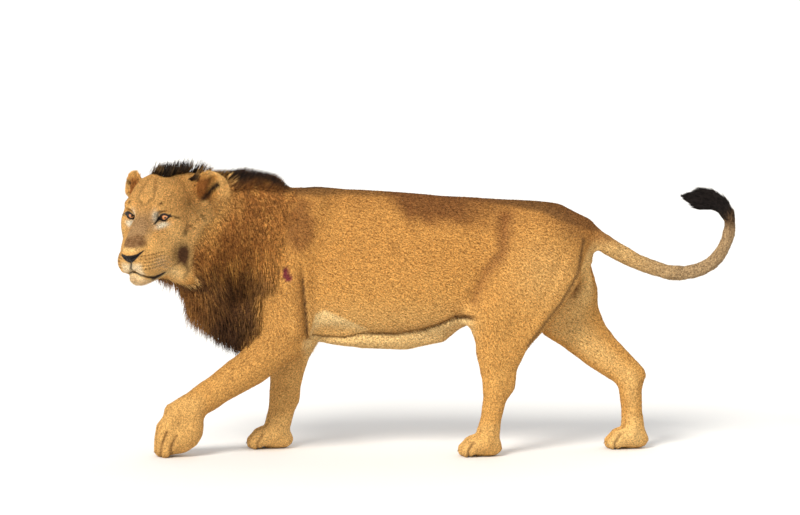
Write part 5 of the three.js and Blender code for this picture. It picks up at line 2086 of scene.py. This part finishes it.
@dataclass
class Eyes:
    """The two eyeballs and the black rims of their lids."""

    atlas: Atlas
    finishes: Finishes
    gaze: tuple = (0.9, 0.42, -0.13)
    bulge: float = 0.0011
    segments: int = 48
    rings: int = 36
    upper_rim: float = 0.0026
    lower_rim: float = 0.0021

    def build(self) -> None:
        """Makes both eyes."""
        for side in Side:
            self._ball(side)
            self._rim(side)

    def _ball(self, side: Side) -> None:
        """A ball with a raised cornea, its pole along the gaze.

        Args:
            side: Which eye.
        """
        eye = self.atlas.eye
        clear_selection()
        bpy.ops.mesh.primitive_uv_sphere_add(
            segments=self.segments, ring_count=self.rings, radius=eye.radius, location=(0, 0, 0))
        piece = bpy.context.object
        piece.name = piece.data.name = f"eyeball_{side.word}"
        points = places_of(piece.data)
        polar = np.arctan2(np.hypot(points[:, 0], points[:, 1]), points[:, 2])
        points *= (1.0 + self.bulge / eye.radius * ramp(polar, 0.66, 0.32))[:, None]
        ahead = unit(np.array(self.gaze))
        across = unit(np.cross(np.array([0.0, 0.0, 1.0]), ahead))
        turned = points @ np.stack([np.cross(across, ahead) * -1.0, across, ahead])
        set_places(piece.data, self.atlas.head.world(turned + eye.centre(side)))
        set_attribute(piece.data, "polar", polar)
        piece.data.uv_layers[0].name = BAKE_MAP
        face_outwards(piece)
        bpy.ops.object.shade_smooth()
        piece.data.materials.append(self.finishes.eye)
        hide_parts(f"eye_{side.word}")
        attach(piece, BODY)
        LOG.info("%s", piece.name)

    def _rim(self, side: Side) -> None:
        """A closed black band along the edges of the lids.

        Args:
            side: Which eye.
        """
        eye = self.atlas.eye
        steps, around = 64, 8
        turn = np.arange(steps) * 2.0 * math.pi / steps
        over = eye.shift + eye.half * np.cos(turn)
        height = np.where(np.sin(turn) >= 0.0, eye.edge(over, True), eye.edge(over, False))
        flat = np.stack([over, height], 1)
        ahead = np.sqrt(np.maximum((eye.radius + 0.0008) ** 2 - (flat**2).sum(axis=1), 1e-6))
        line = np.stack([ahead, flat[:, 0], flat[:, 1]], 1)
        tangent = unit(np.roll(line, -1, axis=0) - np.roll(line, 1, axis=0))
        out = unit(line)
        across = np.cross(tangent, out)
        thick = np.where(np.sin(turn) >= 0, self.upper_rim, self.lower_rim)[:, None]
        ring = np.arange(around) * 2.0 * math.pi / around
        places = [line + across * np.cos(t) * thick + out * np.sin(t) * thick * 0.8 for t in ring]
        places = np.stack(places, 1).reshape(-1, 3) * side.mirror + eye.centre(side)
        faces = []
        for n in range(steps):
            for m in range(around):
                a, b = n * around + m, n * around + (m + 1) % around
                c, d = (n + 1) % steps * around + (m + 1) % around, (n + 1) % steps * around + m
                faces += [(a, b, c), (a, c, d)] if side is Side.RIGHT else [(a, c, b), (a, d, c)]
        lengthwise = np.repeat(np.arange(steps) / steps, around)
        patch = np.stack([lengthwise, np.tile(np.arange(around) / around, steps)], 1)
        piece = mesh_from(f"eye_rim_{side.word}", self.atlas.head.world(places), np.array(faces), patch)
        face_outwards(piece)
        piece.data.materials.append(self.finishes.rim)
        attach(piece, BODY)


@dataclass
class Claws:
    """The claws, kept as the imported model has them, in streaked horn."""

    finishes: Finishes

    def build(self) -> None:
        """Gives each claw its horn."""
        names = [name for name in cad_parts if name.startswith("claw_")]
        for name in names:
            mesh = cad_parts[name].data
            mesh.materials.clear()
            mesh.materials.append(self.finishes.horn)
        LOG.info("claws: %d", len(names))


# ---- studio


@dataclass
class Studio:
    """A pale floor, soft lamps and a far camera a little above the lion's back."""

    atlas: Atlas
    aim: tuple = (0.0, 0.0, 0.7447)
    distance: float = 40.0
    elevation: float = 7.0
    width: float = 3.04
    sensor: float = 36.0
    lamps: tuple = (
        ("key", (-0.42, -0.76, 0.68), (1.0, 0.95, 0.87), 3.1, 22.0),
        ("back", (0.5, 0.62, 0.7), (1.0, 1.0, 1.0), 0.55, 60.0),
    )
    ambient: float = 0.62
    backdrop: float = 0.93
    floor: float = 60.0

    def build(self) -> None:
        """Sets up the camera, lamps, world and floor."""
        self._camera()
        self._lamps()
        self._world()
        self._floor()
        bpy.context.scene.view_settings.view_transform = "Standard"

    def _camera(self) -> None:
        """A long lens that takes in the whole animal."""
        data = bpy.data.cameras.new("camera")
        data.sensor_width = self.sensor
        data.lens = self.sensor * self.distance / self.width
        data.clip_end = 5.0 * self.distance
        camera = linked("camera", data)
        tilt = math.radians(self.elevation)
        target = Vector(self.aim) + Vector(self.atlas.shift)
        camera.location = target + Vector((0.0, -math.cos(tilt), math.sin(tilt))) * self.distance
        camera.rotation_euler = (math.radians(90.0) - tilt, 0.0, 0.0)
        bpy.context.scene.camera = camera

    def _lamps(self) -> None:
        """A broad warm key from high at the front, and a weak one from behind."""
        for name, place, tint, power, spread in self.lamps:
            data = bpy.data.lights.new(name, "SUN")
            data.color = tint
            data.energy = power
            data.angle = math.radians(spread)
            lamp = linked(name, data)
            lamp.rotation_euler = Vector(place).to_track_quat("Z", "Y").to_euler()

    def _world(self) -> None:
        """Even light from all round, white where it is seen directly."""
        world = bpy.data.worlds.new("world")
        bpy.context.scene.world = world
        world.use_nodes = True
        tree = world.node_tree
        tree.nodes.clear()

        def add(kind: str, *sources: bpy.types.NodeSocket) -> bpy.types.Node:
            """Adds a node and links the sources to its first inputs."""
            node = tree.nodes.new(kind)
            for source, socket in zip(sources, node.inputs):
                tree.links.new(source, socket)
            return node

        def glow(level: float, strength: float) -> bpy.types.NodeSocket:
            """A plain grey or white light."""
            node = add("ShaderNodeBackground")
            node.inputs["Color"].default_value = (level, level, level, 1.0)
            node.inputs["Strength"].default_value = strength
            return node.outputs[0]

        rays = add("ShaderNodeLightPath").outputs
        direct = rays["Is Camera Ray"]
        for kind in ("Is Glossy Ray", "Is Transmission Ray"):
            larger = add("ShaderNodeMath", direct, rays[kind])
            larger.operation = "MAXIMUM"
            direct = larger.outputs[0]
        mix = add("ShaderNodeMixShader", direct, glow(1.0, self.ambient), glow(self.backdrop, 1.0))
        add("ShaderNodeOutputWorld", mix.outputs[0])

    def _floor(self) -> None:
        """A wide pale floor."""
        clear_selection()
        bpy.ops.mesh.primitive_plane_add(size=self.floor, location=(0.0, 0.0, 0.0))
        floor = bpy.context.object
        floor.name = floor.data.name = "floor"
        pale = Shader("pale_floor").surface(Base_Color=(0.86, 0.86, 0.85), Roughness=0.9)
        floor.data.materials.append(pale)


def main() -> None:
    """Builds the lion and its studio, and reports each piece."""
    logging.basicConfig(level=logging.INFO, format="%(name)s: %(message)s")
    atlas = Atlas()
    finishes = Finishes()
    Studio(atlas).build()
    skin = Skin(atlas, finishes)
    skin.build()
    Eyes(atlas, finishes).build()
    Claws(finishes).build()
    Coat(atlas, Field(skin), finishes, thin=1.0).build()


if __name__ == "__main__":
    main()
